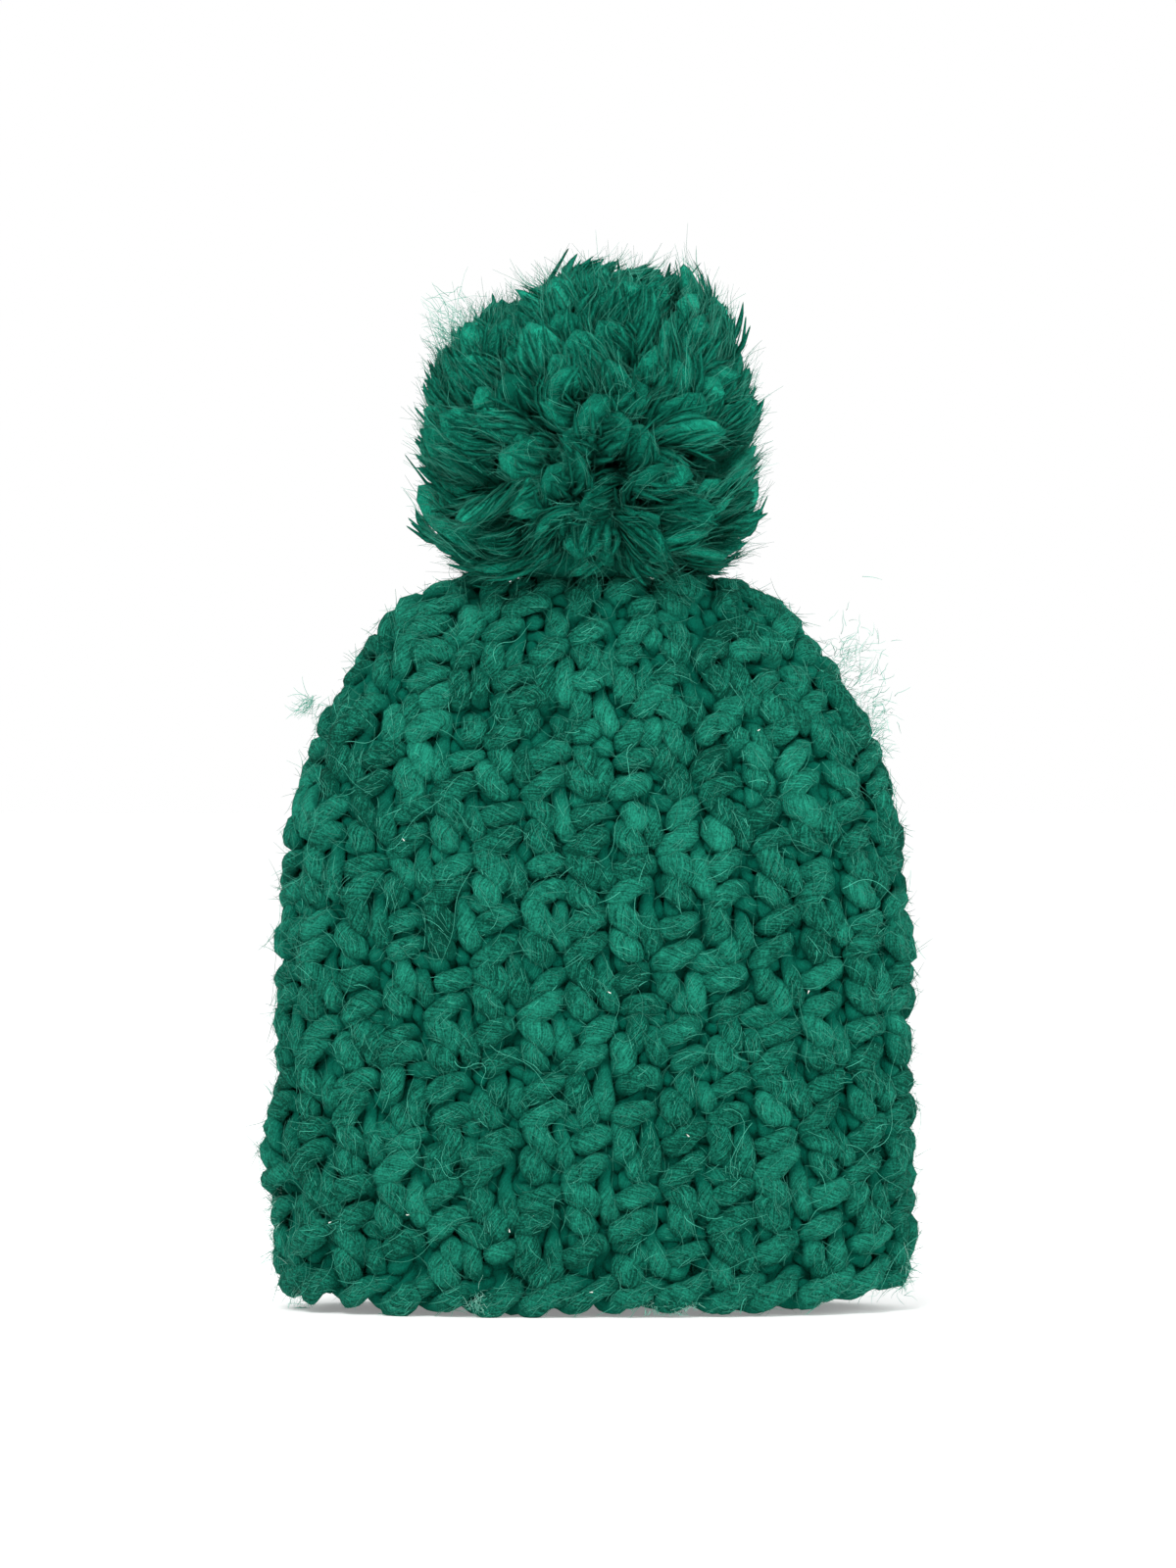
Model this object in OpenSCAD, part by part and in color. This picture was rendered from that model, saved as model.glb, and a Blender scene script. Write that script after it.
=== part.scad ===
// Chunky hand-knitted hat with a yarn pom on the crown.
// It stands on its brim: +Z is up, the front faces -Y, and the origin is the middle of the brim's underside.
// The knitted fabric is an oval dome, gathered shut on top by its own yarn. The pom sits on a cord of
// doubled yarn that passes through the gathered hole and is knotted inside the hat.

/* [Hat] */
// Width of the hat across its sides
hat_w = 215; // [180:1:250]
// Depth of the hat from front to back, as it stands half open
hat_d = 92; // [76:1:150]
// Height from the brim's underside to the top of the crown
hat_h = 248; // [210:1:290]
// Thickness of the knitted fabric
knit_t = 14; // [9:1:16]
// How far each side leans in from the brim to the start of the dome
side_lean = 2; // [0:0.5:6]
// Height at which the straight sides turn into the dome
dome_z = 100; // [60:1:140]
// Fullness of the dome's shoulders from the front: 2 is an ellipse, more is squarer
dome_power = 2.6; // [2:0.1:3.2]
// Fullness of the dome from the side
side_power = 3.4; // [2.6:0.1:4]
// Fullness of the oval seen from above
plan_power = 2.2; // [2:0.1:2.6]

/* [Brim and seam] */
// Height of the cast-on edge, a rope of yarn along the brim
edge_h = 11; // [8:1:16]
// How far the cast-on edge bulges past the fabric on each face
edge_bulge = 1; // [0:0.5:2]
// Radius that rounds the corners of the cast-on edge
edge_round = 3.5; // [1:0.5:4]
// Width of the ridge that the side seam makes inside the hat
seam_w = 9; // [5:1:14]
// How far the seam's ridge stands into the hat
seam_t = 5; // [3:0.5:8]
// How deep the seam's yarn bites into the fabric
seam_bite = 2; // [1:0.5:4]

/* [Crown] */
// Height at which the rounds begin to decrease
crown_z = 165; // [145:1:185]
// Half width of the hole that stays inside the gathering yarn
hole_w = 10; // [9:0.5:12]
// Half depth of that hole
hole_d = 6; // [5.5:0.5:8]
// How deep the gathering yarn bites into the last stitches
gather_bite = 1; // [0.5:0.5:2]

/* [Yarn] */
// Diameter of the gathering yarn and of the woven-in ends
yarn_d = 7; // [5:0.5:8]
// Length of each woven-in end, along the fabric
tail_len = 70; // [40:1:90]
// How deep a woven-in end lies in the fabric
tail_bite = 2; // [1:0.5:3]
// Height of the end woven in behind the brim
brim_tail_z = 20; // [16:1:40]

/* [Pom] */
// Width of the pom
pom_w = 114; // [90:1:130]
// Height of the pom above its flat underside
pom_h = 94; // [75:1:110]
// Height of the pom's widest level above its underside
pom_waist_h = 42; // [34:1:50]
// Fullness of the pom: 2 is an ellipse, more is squarer
pom_power = 2.5; // [2:0.1:2.8]
// Gap between the crown and the pom's underside
pom_gap = 7; // [6.5:0.5:12]
// Diameter of the cord that carries the pom
cord_d = 6; // [4:0.5:6]
// Height of the bound waist above the pom's underside, from which all its yarn fans out
wrap_h = 28; // [22:1:40]
// Diameter of the yarn that binds the pom's waist
wrap_d = 5; // [3:0.5:6]
// Radius of the bound waist, to the middle of that yarn
wrap_r = 10; // [7:0.5:14]
// Turns of yarn round the waist
wrap_turns = 3; // [2:1:4]

/* [Knot] */
// Radius of the knot's ring, to the middle of its yarn
knot_r = 8; // [7.5:0.5:9]
// Diameter of the knot's yarn
knot_d = 8; // [6:0.5:8]
// Gap between the knot and the crown's inside
knot_gap = 1; // [0.5:0.5:3]
// Length of the knot's two cut ends below it
knot_end_len = 22; // [12:1:30]
// Diameter of the knot's cut ends
knot_end_d = 5; // [3:0.5:6]

/* [Hidden] */
$fn = 64;

// Gap that keeps pieces on different bodies apart
gap = 0.4;
// Points round the oval, steps up the dome, steps in a rounded corner, and sides of a swept yarn
oval_steps = 60;
dome_steps = 8;
corner_steps = 4;
tube_sides = 10;
tail_steps = 9;
loop_steps = 40;
pom_steps = 16;
knit_green = [0.05, 0.45, 0.35];
yarn_green = [0.04, 0.36, 0.28];
pom_green = [0.10, 0.53, 0.41];

opening_w = hole_w + yarn_d - gather_bite;
opening_d = hole_d + yarn_d - gather_bite;
gather_z = hat_h - knit_t / 2;
knot_z = hat_h - knit_t - knot_gap - knot_d / 2;
nod_z = hat_h + cord_d / 2;
pom_z = hat_h + pom_gap;
wrap_z = pom_z + wrap_h;
stem_z = nod_z + cord_d / 2 + gap;
tail_inset = knit_t + yarn_d / 2 - tail_bite;
// The woven-in ends begin this far from the seam's side, and from the hole
brim_tail_x = 32 - hat_w / 2;
gather_tail_x = 27;
// Half width at which the seam's ridge stops, clear of the knot
seam_end_x = 32;

// Half extents [x, y] of the hat's straight side at height z, taken in by inset
function side_size(inset, z) = let (in = inset + side_lean * min(z, dome_z) / dome_z)
    [hat_w / 2 - in, hat_d / 2 - in];

// Half extents and height of the dome at angle a, from 0 at its start to 90 at the top
function dome_size(inset, a) = let (s = side_size(inset, dome_z))
    [s.x * pow(cos(a), 2 / dome_power), s.y * pow(cos(a), 2 / side_power),
     dome_z + (hat_h - inset - dome_z) * pow(sin(a), 2 / dome_power)];

// Angle of the dome at height z, and at the gathered opening
function angle_at(inset, z) = asin(pow((z - dome_z) / (hat_h - inset - dome_z), dome_power / 2));
function angle_at_x(inset, x) = acos(pow(x / side_size(inset, dome_z).x, dome_power / 2));
function angle_at_opening(inset) = let (s = side_size(inset, dome_z))
    acos(max(pow(opening_w / s.x, dome_power / 2), pow(opening_d / s.y, side_power / 2)));

// Sizes [x, y, z] up the hat's wall between two heights that straddle the dome's start
function wall_sizes(inset, low, high) = concat(
    [concat(side_size(inset, low), [low])],
    [for (i = [0:dome_steps]) dome_size(inset, angle_at(inset, high) * i / dome_steps)]);

// Sizes up the crown, from its first decrease to the gathered opening
function crown_sizes(inset) = let (first = angle_at(inset, crown_z), last = angle_at_opening(inset)) concat(
    [for (i = [0:dome_steps]) dome_size(inset, first + (last - first) * i / dome_steps)],
    [[opening_w, opening_d, dome_size(inset, last).z]]);

// One quarter circle of a rounded corner, as [out, up] offsets from its centre
function corner(r, from) = [for (i = [0:corner_steps]) let (a = from + 90 * i / corner_steps)
    [r * cos(a), r * sin(a)]];

function reversed(list) = [for (i = [len(list) - 1:-1:0]) list[i]];

// A point on the oval of half extents size, at angle a
function on_oval(size, a) = [size.x * sign(cos(a)) * pow(abs(cos(a)), 2 / plan_power),
                             size.y * sign(sin(a)) * pow(abs(sin(a)), 2 / plan_power)];

// Faces that join rings of points into a closed tube; a loop also joins its last ring to its first
function tube_faces(rings, sides, loop) = concat(
    [for (i = [0:rings - (loop ? 1 : 2)], k = [0:sides - 1])
        let (a = i * sides, b = ((i + 1) % rings) * sides, n = (k + 1) % sides) each
            [[a + k, a + n, b + n], [a + k, b + n, b + k]]],
    loop ? [] : [[for (k = [sides - 1:-1:0]) k], [for (k = [0:sides - 1]) (rings - 1) * sides + k]]);

// A ring of fabric: a closed section of [x, y, z] sizes carried round the oval
module oval_ring(section) {
    points = [for (j = [0:oval_steps - 1]) let (a = 360 * j / oval_steps)
        for (s = section) concat(on_oval(s, a), [s.z])];
    polyhedron(points, tube_faces(oval_steps, len(section), true));
}

// Yarn of diameter d along a path of points
module yarn(path, d, loop = false) {
    last = len(path) - 1;
    function along(i) = loop ? path[(i + 1) % (last + 1)] - path[(i + last) % (last + 1)]
                             : path[min(i + 1, last)] - path[max(i - 1, 0)];
    points = [for (i = [0:last]) let (t = along(i) / norm(along(i)),
                                      level = abs(t.z) < 0.9 ? [0, 0, 1] : [1, 0, 0],
                                      u = cross(t, level) / norm(cross(t, level)), v = cross(t, u))
        for (k = [0:tube_sides - 1]) let (a = 360 * k / tube_sides)
            path[i] + (u * cos(a) + v * sin(a)) * d / 2];
    polyhedron(points, tube_faces(last + 1, tube_sides, loop));
}

// The rope of cast-on stitches along the brim, flat underneath where the hat stands
module cast_on_edge() {
    out = edge_round - edge_bulge;
    outer = concat(corner(edge_round, -90), corner(edge_round, 0));
    function place(inset, side, o) = concat(side_size(inset - side * (o[0] - out), 0),
        [o[1] < 0 || o == outer[corner_steps] ? edge_round + o[1] : edge_h - edge_round + o[1]]);
    color(knit_green) oval_ring(concat([for (o = outer) place(0, 1, o)],
                                       [for (o = reversed(outer)) place(knit_t, -1, o)]));
}

// The straight part of the knitted fabric, up to the first decrease
module knit_body() {
    color(knit_green) oval_ring(concat(wall_sizes(0, edge_h, crown_z), reversed(wall_sizes(knit_t, edge_h, crown_z))));
}

// The decreasing rounds of the same fabric, open in the middle for the gathering yarn
module crown() {
    color(knit_green) oval_ring(concat(crown_sizes(0), reversed(crown_sizes(knit_t))));
}

// The ridge inside the hat where its two side edges are sewn together, from the brim up to the gather
module side_seam() {
    function seam_line(inset) = let (top = angle_at_x(inset, seam_end_x)) concat(
        [[side_size(inset, edge_round).x, edge_round]],
        [for (i = [0:2 * dome_steps]) let (s = dome_size(inset, top * i / (2 * dome_steps))) [s.x, s.z]]);
    color(yarn_green) mirror([1, 0, 0]) rotate([90, 0, 0]) linear_extrude(seam_w, center = true)
        polygon(concat(seam_line(knit_t - seam_bite), reversed(seam_line(knit_t + seam_t))));
}

// The end of the cast-on yarn, woven in along the inside of the back
module cast_on_tail() {
    s = side_size(tail_inset, brim_tail_z);
    color(yarn_green) yarn([for (i = [0:tail_steps]) let (x = brim_tail_x + tail_len * i / tail_steps)
        [x, s.y * pow(1 - pow(abs(x) / s.x, plan_power), 1 / plan_power), brim_tail_z]], yarn_d);
}

// The gathering yarn: a loop drawn through the last stitches, with a hole left in it for the cord
module crown_gather() {
    color(yarn_green) yarn([for (i = [0:loop_steps - 1]) let (a = 360 * i / loop_steps)
        [(hole_w + yarn_d / 2) * cos(a), (hole_d + yarn_d / 2) * sin(a), gather_z]], yarn_d, loop = true);
}

// The end of the gathering yarn, woven in along the inside of the crown
module gather_tail() {
    first = angle_at_x(tail_inset, gather_tail_x);
    last = angle_at_x(tail_inset, gather_tail_x + tail_len * 0.75);
    color(yarn_green) yarn([for (i = [0:tail_steps])
        let (s = dome_size(tail_inset, first + (last - first) * i / tail_steps)) [s.x, 0, s.z]], yarn_d);
}

// The knot inside the hat that keeps the cord from pulling out, with its two cut ends
module tie_knot() {
    color(yarn_green) translate([0, 0, knot_z]) {
        rotate_extrude() translate([knot_r, 0]) circle(d = knot_d);
        for (side = [-1, 1]) translate([0, side * knot_r, 0]) rotate([side * 8, 0, 0]) {
            translate([0, 0, -knot_end_len]) cylinder(d = knot_end_d, h = knot_end_len);
            translate([0, 0, -knot_end_len]) sphere(d = knot_end_d);
        }
    }
}

// The cord of doubled yarn: a thick foot held by the knot, and a round head on which the pom nods
module tie_cord() {
    color(yarn_green) {
        translate([0, 0, knot_z]) sphere(r = knot_r - knot_d / 2 - gap);
        translate([0, 0, knot_z]) cylinder(d = cord_d, h = nod_z - knot_z);
        translate([0, 0, nod_z]) sphere(d = cord_d);
    }
}

// The yarn that binds the pom's waist, with the stem it leaves below
module pom_wrap() {
    color(yarn_green) {
        for (turn = [0:wrap_turns - 1])
            translate([0, (turn - (wrap_turns - 1) / 2) * wrap_d * 0.9, wrap_z]) rotate([90, 0, 0])
                rotate_extrude() translate([wrap_r, 0]) circle(d = wrap_d);
        translate([0, 0, stem_z]) cylinder(d = cord_d, h = wrap_z - wrap_r - stem_z);
    }
}

// The pom: a thick round tuft of cut yarn, flattened where it rests over the crown
module pom() {
    function pom_line(h, up) = [for (i = [0:pom_steps]) let (a = 90 * (up ? i : pom_steps - i) / pom_steps)
        [pom_w / 2 * pow(cos(a), 2 / pom_power), (up ? h : -h) * pow(sin(a), 2 / pom_power)]];
    color(pom_green) translate([0, 0, pom_z + pom_waist_h]) rotate_extrude() polygon(concat(
        pom_line(pom_waist_h, false), pom_line(pom_h - pom_waist_h, true)));
}

cast_on_edge();
knit_body();
crown();
side_seam();
cast_on_tail();
crown_gather();
gather_tail();
tie_knot();
tie_cord();
pom_wrap();
pom();
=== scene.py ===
# Chunky knitted hat with a yarn pom: the yarn is carried stitch by stitch round the oval dome of the frame.
import math

import bpy
import numpy as np
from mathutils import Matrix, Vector


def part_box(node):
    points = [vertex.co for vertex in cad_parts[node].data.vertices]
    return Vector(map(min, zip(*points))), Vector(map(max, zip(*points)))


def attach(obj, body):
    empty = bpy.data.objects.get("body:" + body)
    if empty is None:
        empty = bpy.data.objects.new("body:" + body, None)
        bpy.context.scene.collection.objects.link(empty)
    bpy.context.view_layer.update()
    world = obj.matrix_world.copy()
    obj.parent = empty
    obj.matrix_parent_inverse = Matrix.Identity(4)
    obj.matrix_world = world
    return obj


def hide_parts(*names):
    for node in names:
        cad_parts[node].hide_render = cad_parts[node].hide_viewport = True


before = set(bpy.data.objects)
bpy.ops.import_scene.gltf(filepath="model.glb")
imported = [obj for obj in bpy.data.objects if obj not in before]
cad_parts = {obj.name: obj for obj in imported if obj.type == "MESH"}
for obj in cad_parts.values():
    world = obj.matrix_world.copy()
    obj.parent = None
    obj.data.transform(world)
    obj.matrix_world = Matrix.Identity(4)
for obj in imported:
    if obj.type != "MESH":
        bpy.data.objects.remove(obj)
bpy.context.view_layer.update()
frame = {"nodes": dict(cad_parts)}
mm = 0.001
print("frame loaded:", ", ".join(frame["nodes"]))

# the fabric's middle surface; sizes here and below are in mm
bodyLow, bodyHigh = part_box("knit_body")
hat = dict(
    width=(bodyHigh[0] - bodyLow[0]) / mm + 0.4,  # at the floor, which the body's lower end is a little above
    depth=92.0,                       # front to back
    height=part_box("crown")[1][2] / mm,
    sideLean=2.0,                     # how far the straight sides come in below the dome
    domeStart=100.0,
    domePower=2.6,                    # fullness of the shoulders from the front
    sidePower=3.4,                    # fullness from the side
    planPower=2.2,                    # fullness of the oval seen from above
    middleInset=6.6,                  # from the outer face to the middle of the loops
    shoulder=(9.0, 238.0, 13.0),  # the gathered top is fuller by this much, near this height, within this
    brimIn=(8.5, 11.0),               # and the brim's ends draw in by this much, fading with this height
)


# A stack of superellipse ovals, each resampled to equal steps of its own length. The half sizes are
# cos(a)^(2/n) of the dome's, and the height sin(a)^(2/n); below the dome the sides lean in on a straight
# line. Returns points [level, around, xyz], their outward normals, the height along the fabric of each level
# and each level's girth.
def middleSurface(hat, levels=400, around=720):
    inset = hat["middleInset"]
    z = np.linspace(0, hat["domeStart"], levels // 2, endpoint=False)
    lean = inset + hat["sideLean"] * z / hat["domeStart"]
    sx, sy = hat["width"] / 2 - lean, hat["depth"] / 2 - lean
    a = np.radians(np.linspace(0, 89.0, levels))
    full = inset + hat["sideLean"]
    sx = np.r_[sx, (hat["width"] / 2 - full) * np.cos(a) ** (2 / hat["domePower"])]
    sy = np.r_[sy, (hat["depth"] / 2 - full) * np.cos(a) ** (2 / hat["sidePower"])]
    dome = hat["height"] - inset - hat["domeStart"]
    z = np.r_[z, hat["domeStart"] + dome * np.sin(a) ** (2 / hat["domePower"])]
    more, level, reach = hat["shoulder"]
    sx = sx + more * np.exp(-((z - level) / reach) ** 2) * np.clip(sx / 30, 0, 1)
    sx = sx - hat["brimIn"][0] * np.exp(-z / hat["brimIn"][1])
    side = np.r_[0, np.cumsum(np.hypot(np.diff(sx), np.diff(z)))]
    front = np.r_[0, np.cumsum(np.hypot(np.diff(sy), np.diff(z)))]
    along = (side + front) / 2
    steps = np.arange(0, along[-1], 1.0)
    sx, sy, z = (np.interp(steps, along, v) for v in (sx, sy, z))
    t = np.linspace(0, 2 * np.pi, 2401) + np.pi     # starts at -X and passes -Y first
    power = 2 / hat["planPower"]
    ux = np.sign(np.cos(t)) * np.abs(np.cos(t)) ** power
    uy = np.sign(np.sin(t)) * np.abs(np.sin(t)) ** power
    x, y = sx[:, None] * ux, sy[:, None] * uy
    run = np.cumsum(np.hypot(np.diff(x, axis=1), np.diff(y, axis=1)), axis=1)
    run = np.concatenate([np.zeros((len(z), 1)), run], axis=1)
    girth = run[:, -1]
    points = np.empty((len(z), around, 3))
    even = np.arange(around) / around
    for k in range(len(z)):
        points[k, :, 0] = np.interp(even * girth[k], run[k], x[k])
        points[k, :, 1] = np.interp(even * girth[k], run[k], y[k])
        points[k, :, 2] = z[k]
    du = np.roll(points, -1, axis=1) - np.roll(points, 1, axis=1)
    dv = np.gradient(points, axis=0)
    normals = np.cross(du, dv)
    normals /= np.linalg.norm(normals, axis=2, keepdims=True)
    return points, normals, steps, girth


surfacePoints, surfaceNormals, surfaceSteps, surfaceGirth = middleSurface(hat)
fabricLength = surfaceSteps[-1]


# Point and normal at a share of a turn (0 at -X, a quarter at the front) and a distance up the fabric.
def onFabric(turn, rise):
    rows, cols = surfacePoints.shape[:2]
    r = np.clip(rise, 0, rows - 1.001)
    c = (turn % 1.0) * cols
    r0, c0 = r.astype(int), c.astype(int) % cols
    fr, fc = (r - r0)[..., None], (c - np.floor(c))[..., None]
    c1 = (c0 + 1) % cols

    def mix(t):
        return ((t[r0, c0] * (1 - fc) + t[r0, c1] * fc) * (1 - fr)
                + (t[r0 + 1, c0] * (1 - fc) + t[r0 + 1, c1] * fc) * fr)
    n = mix(surfaceNormals)
    p = mix(surfacePoints)
    p[..., 2] += np.minimum(rise, 0)                # under the brim the wall goes straight down
    return p, n / np.linalg.norm(n, axis=-1, keepdims=True)


# A sum of sines of uneven periods: smooth, repeatable and about -1 to 1.
def smoothNoise(x, seed, octaves=3):
    r = np.random.default_rng(seed)
    total = np.zeros_like(x, dtype=float)
    for k in range(octaves * 3):
        total += np.sin(x * r.uniform(0.6, 1.7) * 1.9 ** (k // 3) + r.uniform(0, 6.283)) / 1.5 ** (k // 3)
    return total / 3.4


# the stitches
knit = dict(
    wales=30,             # stitches round the body
    rowRise=9.0,          # from one row to the next
    firstRow=7.5,         # height of the first row's feet
    minPitch=13.2,        # the crown decreases to keep at least this between stitches
    depth=3.2,            # how far the loops go in front of and behind the middle surface
    tilt=0.24,            # how far a stitch turns, in radians, from the yarn's twist
    radius=3.45,          # of the yarn
    purlFoot=0.35,        # share of the depth a purl's foot comes forward
    lowerRight=0.1,  # the same of the lower knit stitch's right leg, under the upper one's long right leg
    lowerKnit=0.25,       # and the lower knit stitch's upper legs, which the next legs cover
    unevenness=0.075,     # of stitch sizes and places
    lastRise=17.0,        # the last heads stop this far short of the top's middle
    crownFrom=165.0,      # rows above this rise belong to the crown
)

# One loop, as control points: across in pitches, up in rows, how much each point follows the foot's depth,
# the lower leg's, the upper leg's and the head's, how much wider it lies where the head shows in front, and
# how much lower it lies, in rows, in the upper one of two knit stitches, whose legs lie over the lower
# one's.
loopShape = np.array([
    [-0.50, -0.04, 0.50, 0.00, 0.00, 0.00, 0.00, 0.00],
    [-0.38, -0.06, 1.00, 0.00, 0.00, 0.00, 0.00, 0.30],
    [-0.27, 0.04, 0.90, 0.10, 0.00, 0.00, 0.00, 0.40],
    [-0.17, 0.32, 0.00, 1.00, 0.00, 0.00, 0.00, 0.40],
    [-0.20, 0.68, 0.00, 1.12, 0.10, 0.00, 0.00, 0.16],
    [-0.28, 1.02, 0.00, 0.60, 0.52, 0.00, 0.00, -0.04],
    [-0.32, 1.32, 0.00, 0.00, 0.80, 0.20, 0.09, -0.04],
    [-0.25, 1.60, 0.00, 0.00, 0.00, 1.00, 0.20, 0.00],
    [0.00, 1.70, 0.00, 0.00, 0.00, 1.18, 0.00, 0.00],
    [0.25, 1.60, 0.00, 0.00, 0.00, 1.00, 0.20, 0.00],
    [0.34, 1.32, 0.00, 0.00, 0.80, 0.20, 0.09, 0.00],
    [0.31, 1.02, 0.00, 0.50, 0.62, 0.00, 0.00, 0.04],
    [0.26, 0.68, 0.00, 1.12, 0.10, 0.00, 0.00, 0.45],
    [0.22, 0.32, 0.00, 1.05, 0.00, 0.00, 0.00, 0.95],
    [0.28, 0.04, 0.80, 0.20, 0.00, 0.00, 0.00, 0.95],
    [0.39, -0.06, 1.00, 0.00, 0.00, 0.00, 0.00, 0.45],
])


# A closed uniform cubic B-spline: every point is a fixed blend of four neighbouring control points.
def splineRing(control, each):
    t = np.arange(each)[:, None] / each
    w = [(1 - t) ** 3, 3 * t ** 3 - 6 * t ** 2 + 4, -3 * t ** 3 + 3 * t ** 2 + 3 * t + 1, t ** 3]
    full = np.array([1.0, 0, 0, 0])                # the turn runs on past 1 where the ring closes
    longer = np.concatenate([control[-1:] - full, control, control[:2] + full])
    near = [longer[k:k + len(control), None] for k in range(4)]
    return sum(a / 6 * b for a, b in zip(w, near)).reshape(-1, control.shape[1])


# +1 where a knit stitch shows outside and -1 where a purl does: a checkerboard two rows high.
def stitchSide(wale, row):
    return np.where((wale + row // 2) % 2 == 0, 1.0, -1.0)


# Rises of the rows and their stitch counts, which fall in the crown as the girth does.
def rowCounts(knit):
    top = fabricLength - knit["lastRise"]
    rises = np.arange(knit["firstRow"], top - knit["rowRise"] * 1.2, knit["rowRise"])
    girth = np.interp(rises + knit["rowRise"], surfaceSteps, surfaceGirth)
    counts = np.minimum(knit["wales"], (girth / knit["minPitch"] / 2).astype(int) * 2)
    return rises, np.maximum(counts, 6)


# How far the brim's edge lifts from the floor round the hat: most at +X, with slow waves.
def brimRise(turn):
    c = np.cos(turn * 2 * np.pi)
    return 2.4 * (0.5 - 0.5 * c) + 6.0 * np.abs(c) ** 9 + 0.8 * (1 + smoothNoise(turn * 28, 44))


# Every row as a closed ring of yarn in fabric coordinates: turn, rise, out, plus which leg the point is on.
# A loop's foot lies behind a knit stitch and in front of a purl one, and its lower leg the other way. Its
# upper leg and head do the same for the stitch above, which is drawn through it.
def knitRows(knit):
    rises, counts = rowCounts(knit)
    rows = []
    for r, (rise, count) in enumerate(zip(rises, counts)):
        i = np.arange(count)
        above = counts[min(r + 1, len(counts) - 1)]
        iAbove = ((i + 0.5) / count * above).astype(int)
        side = stitchSide(i, r)
        sideAbove = stitchSide(iAbove, r + 1)
        pitch = np.interp(rise + 6, surfaceSteps, surfaceGirth) / count
        rs = np.random.default_rng(100 + r)
        shift = rs.normal(0, knit["unevenness"], (count, 2))
        grow = 1 + rs.normal(0, knit["unevenness"], (count, 2))
        front = (sideAbove[:, None] < 0) * loopShape[None, :, 6] * np.sign(loopShape[None, :, 0])
        across = (loopShape[None, :, 0] * grow[:, :1] + front) * pitch
        upper = ((side > 0) & (sideAbove < 0))[:, None]
        up = (loopShape[None, :, 1] * grow[:, 1:] - upper * loopShape[None, :, 7]) * knit["rowRise"]
        tilt = knit["tilt"] * (1 + rs.normal(0, 0.35, (count, 1)))
        mid = 0.85 * knit["rowRise"]
        turned = across * np.cos(tilt) - (up - mid) * np.sin(tilt) * 0.8
        bars = sideAbove[:, None] * (loopShape[None, :, 5] > 0.5) < 0
        slope = np.where(bars, 2.9, 1.0)                                    # bars rise more
        lifted = mid + (up - mid) * np.cos(tilt) + across * np.sin(tilt) * slope
        d = knit["depth"]
        sunk = np.where(side[:, None] < 0, knit["purlFoot"], 1.0)  # a purl's foot stays under the bars
        lower = (side[:, None] > 0) & ~upper
        tucked = np.where(lower, knit["lowerKnit"], 1.0)
        hidden = np.where(lower & (loopShape[None, :, 0] > 0), knit["lowerRight"], 1.0)
        out = d * (-side[:, None] * sunk * loopShape[None, :, 2]
                   + side[:, None] * hidden * loopShape[None, :, 3]
                   + sideAbove[:, None] * (loopShape[None, :, 4] * tucked - loopShape[None, :, 5]))
        out = out * np.where(upper & (loopShape[None, :, 3] > 0), 1.12, 1.0)
        # the point between two stitches is where the yarn passes from one stitch's foot to the next one's
        before = np.roll(side, 1)
        out[:, 0] = -d * (side + before) / 2 * 0.9
        lifted[:, 0] = -0.06 * knit["rowRise"]
        wave = smoothNoise(i / count * 6.283 * 2 + r * 0.35, 40) * 0.8
        wave = wave + brimRise(i / count) * np.exp(-rise / 30)
        turn = ((i[:, None] + 0.5 + shift[:, :1]) * pitch + turned) / (pitch * count)
        line = np.stack([turn, rise + lifted + shift[:, 1:] * knit["rowRise"] + wave[:, None], out], axis=2)
        lean = np.broadcast_to(-loopShape[None, :, 0] * 2, out.shape)  # +1 on the left leg, -1 on the right
        line = np.concatenate([line, lean[:, :, None]], axis=2).reshape(-1, 4)
        rows.append(splineRing(line, 2))
    return rows, counts


castOn = dict(strands=2, turns=15, rise=6.4, swing=3.0, out=3.3, each=14)      # each: half a turn's points


# Strands wound round one another along the brim: rise and out are the cosine and sine of one turn of the
# rope in every two stitches, and each strand starts a share of that turn further on.
def castOnRope(castOn):
    strands = []
    for k in range(castOn["strands"]):
        count = castOn["turns"] * castOn["each"] * 2
        t = np.arange(count) / count
        a = t * castOn["turns"] * 2 * np.pi + k * 2 * np.pi / castOn["strands"]
        a = a + 0.45 * smoothNoise(t * 40, 70 + k)
        swing = castOn["swing"] * (1 + 0.25 * smoothNoise(t * 60, 80 + k))
        rise = castOn["rise"] + brimRise(t) + swing * np.cos(a)
        strands.append(np.stack([t, rise, -castOn["out"] * np.sin(a), 0 * t], axis=1))
    return strands


rows, rowStitches = knitRows(knit)
edgeRings = [len(rows) + k for k in range(castOn["strands"])]
rows += castOnRope(castOn)
rowSizes = np.array([len(r) for r in rows])
rowStart = np.r_[0, np.cumsum(rowSizes)[:-1]]
allRows = np.concatenate(rows)
position, normal = onFabric(allRows[:, 0], allRows[:, 1])
bulge = dict(out=6.0, rise=54.0, reach=9.0, share=0.02)        # the seam's lump on the left edge
fromSeam = np.abs((allRows[:, 0] + 0.5) % 1.0 - 0.5)
fromLump = (allRows[:, 1] - bulge["rise"]) / bulge["reach"]
lump = bulge["out"] * np.exp(-fromLump ** 2 - (fromSeam / bulge["share"]) ** 2)
position = position + normal * lump[:, None]
path = position + normal * allRows[:, 2:3]
print("rows:", len(rows), "stitches:", int(rowStitches.sum()), "points:", len(path))


# Thick-and-thin single-ply yarn: slow swells along its length.
def yarnThickness(count, start, seed):
    t = np.arange(count) * 0.5 + start
    return 1 + 0.13 * smoothNoise(t * 0.11, seed)


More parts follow.
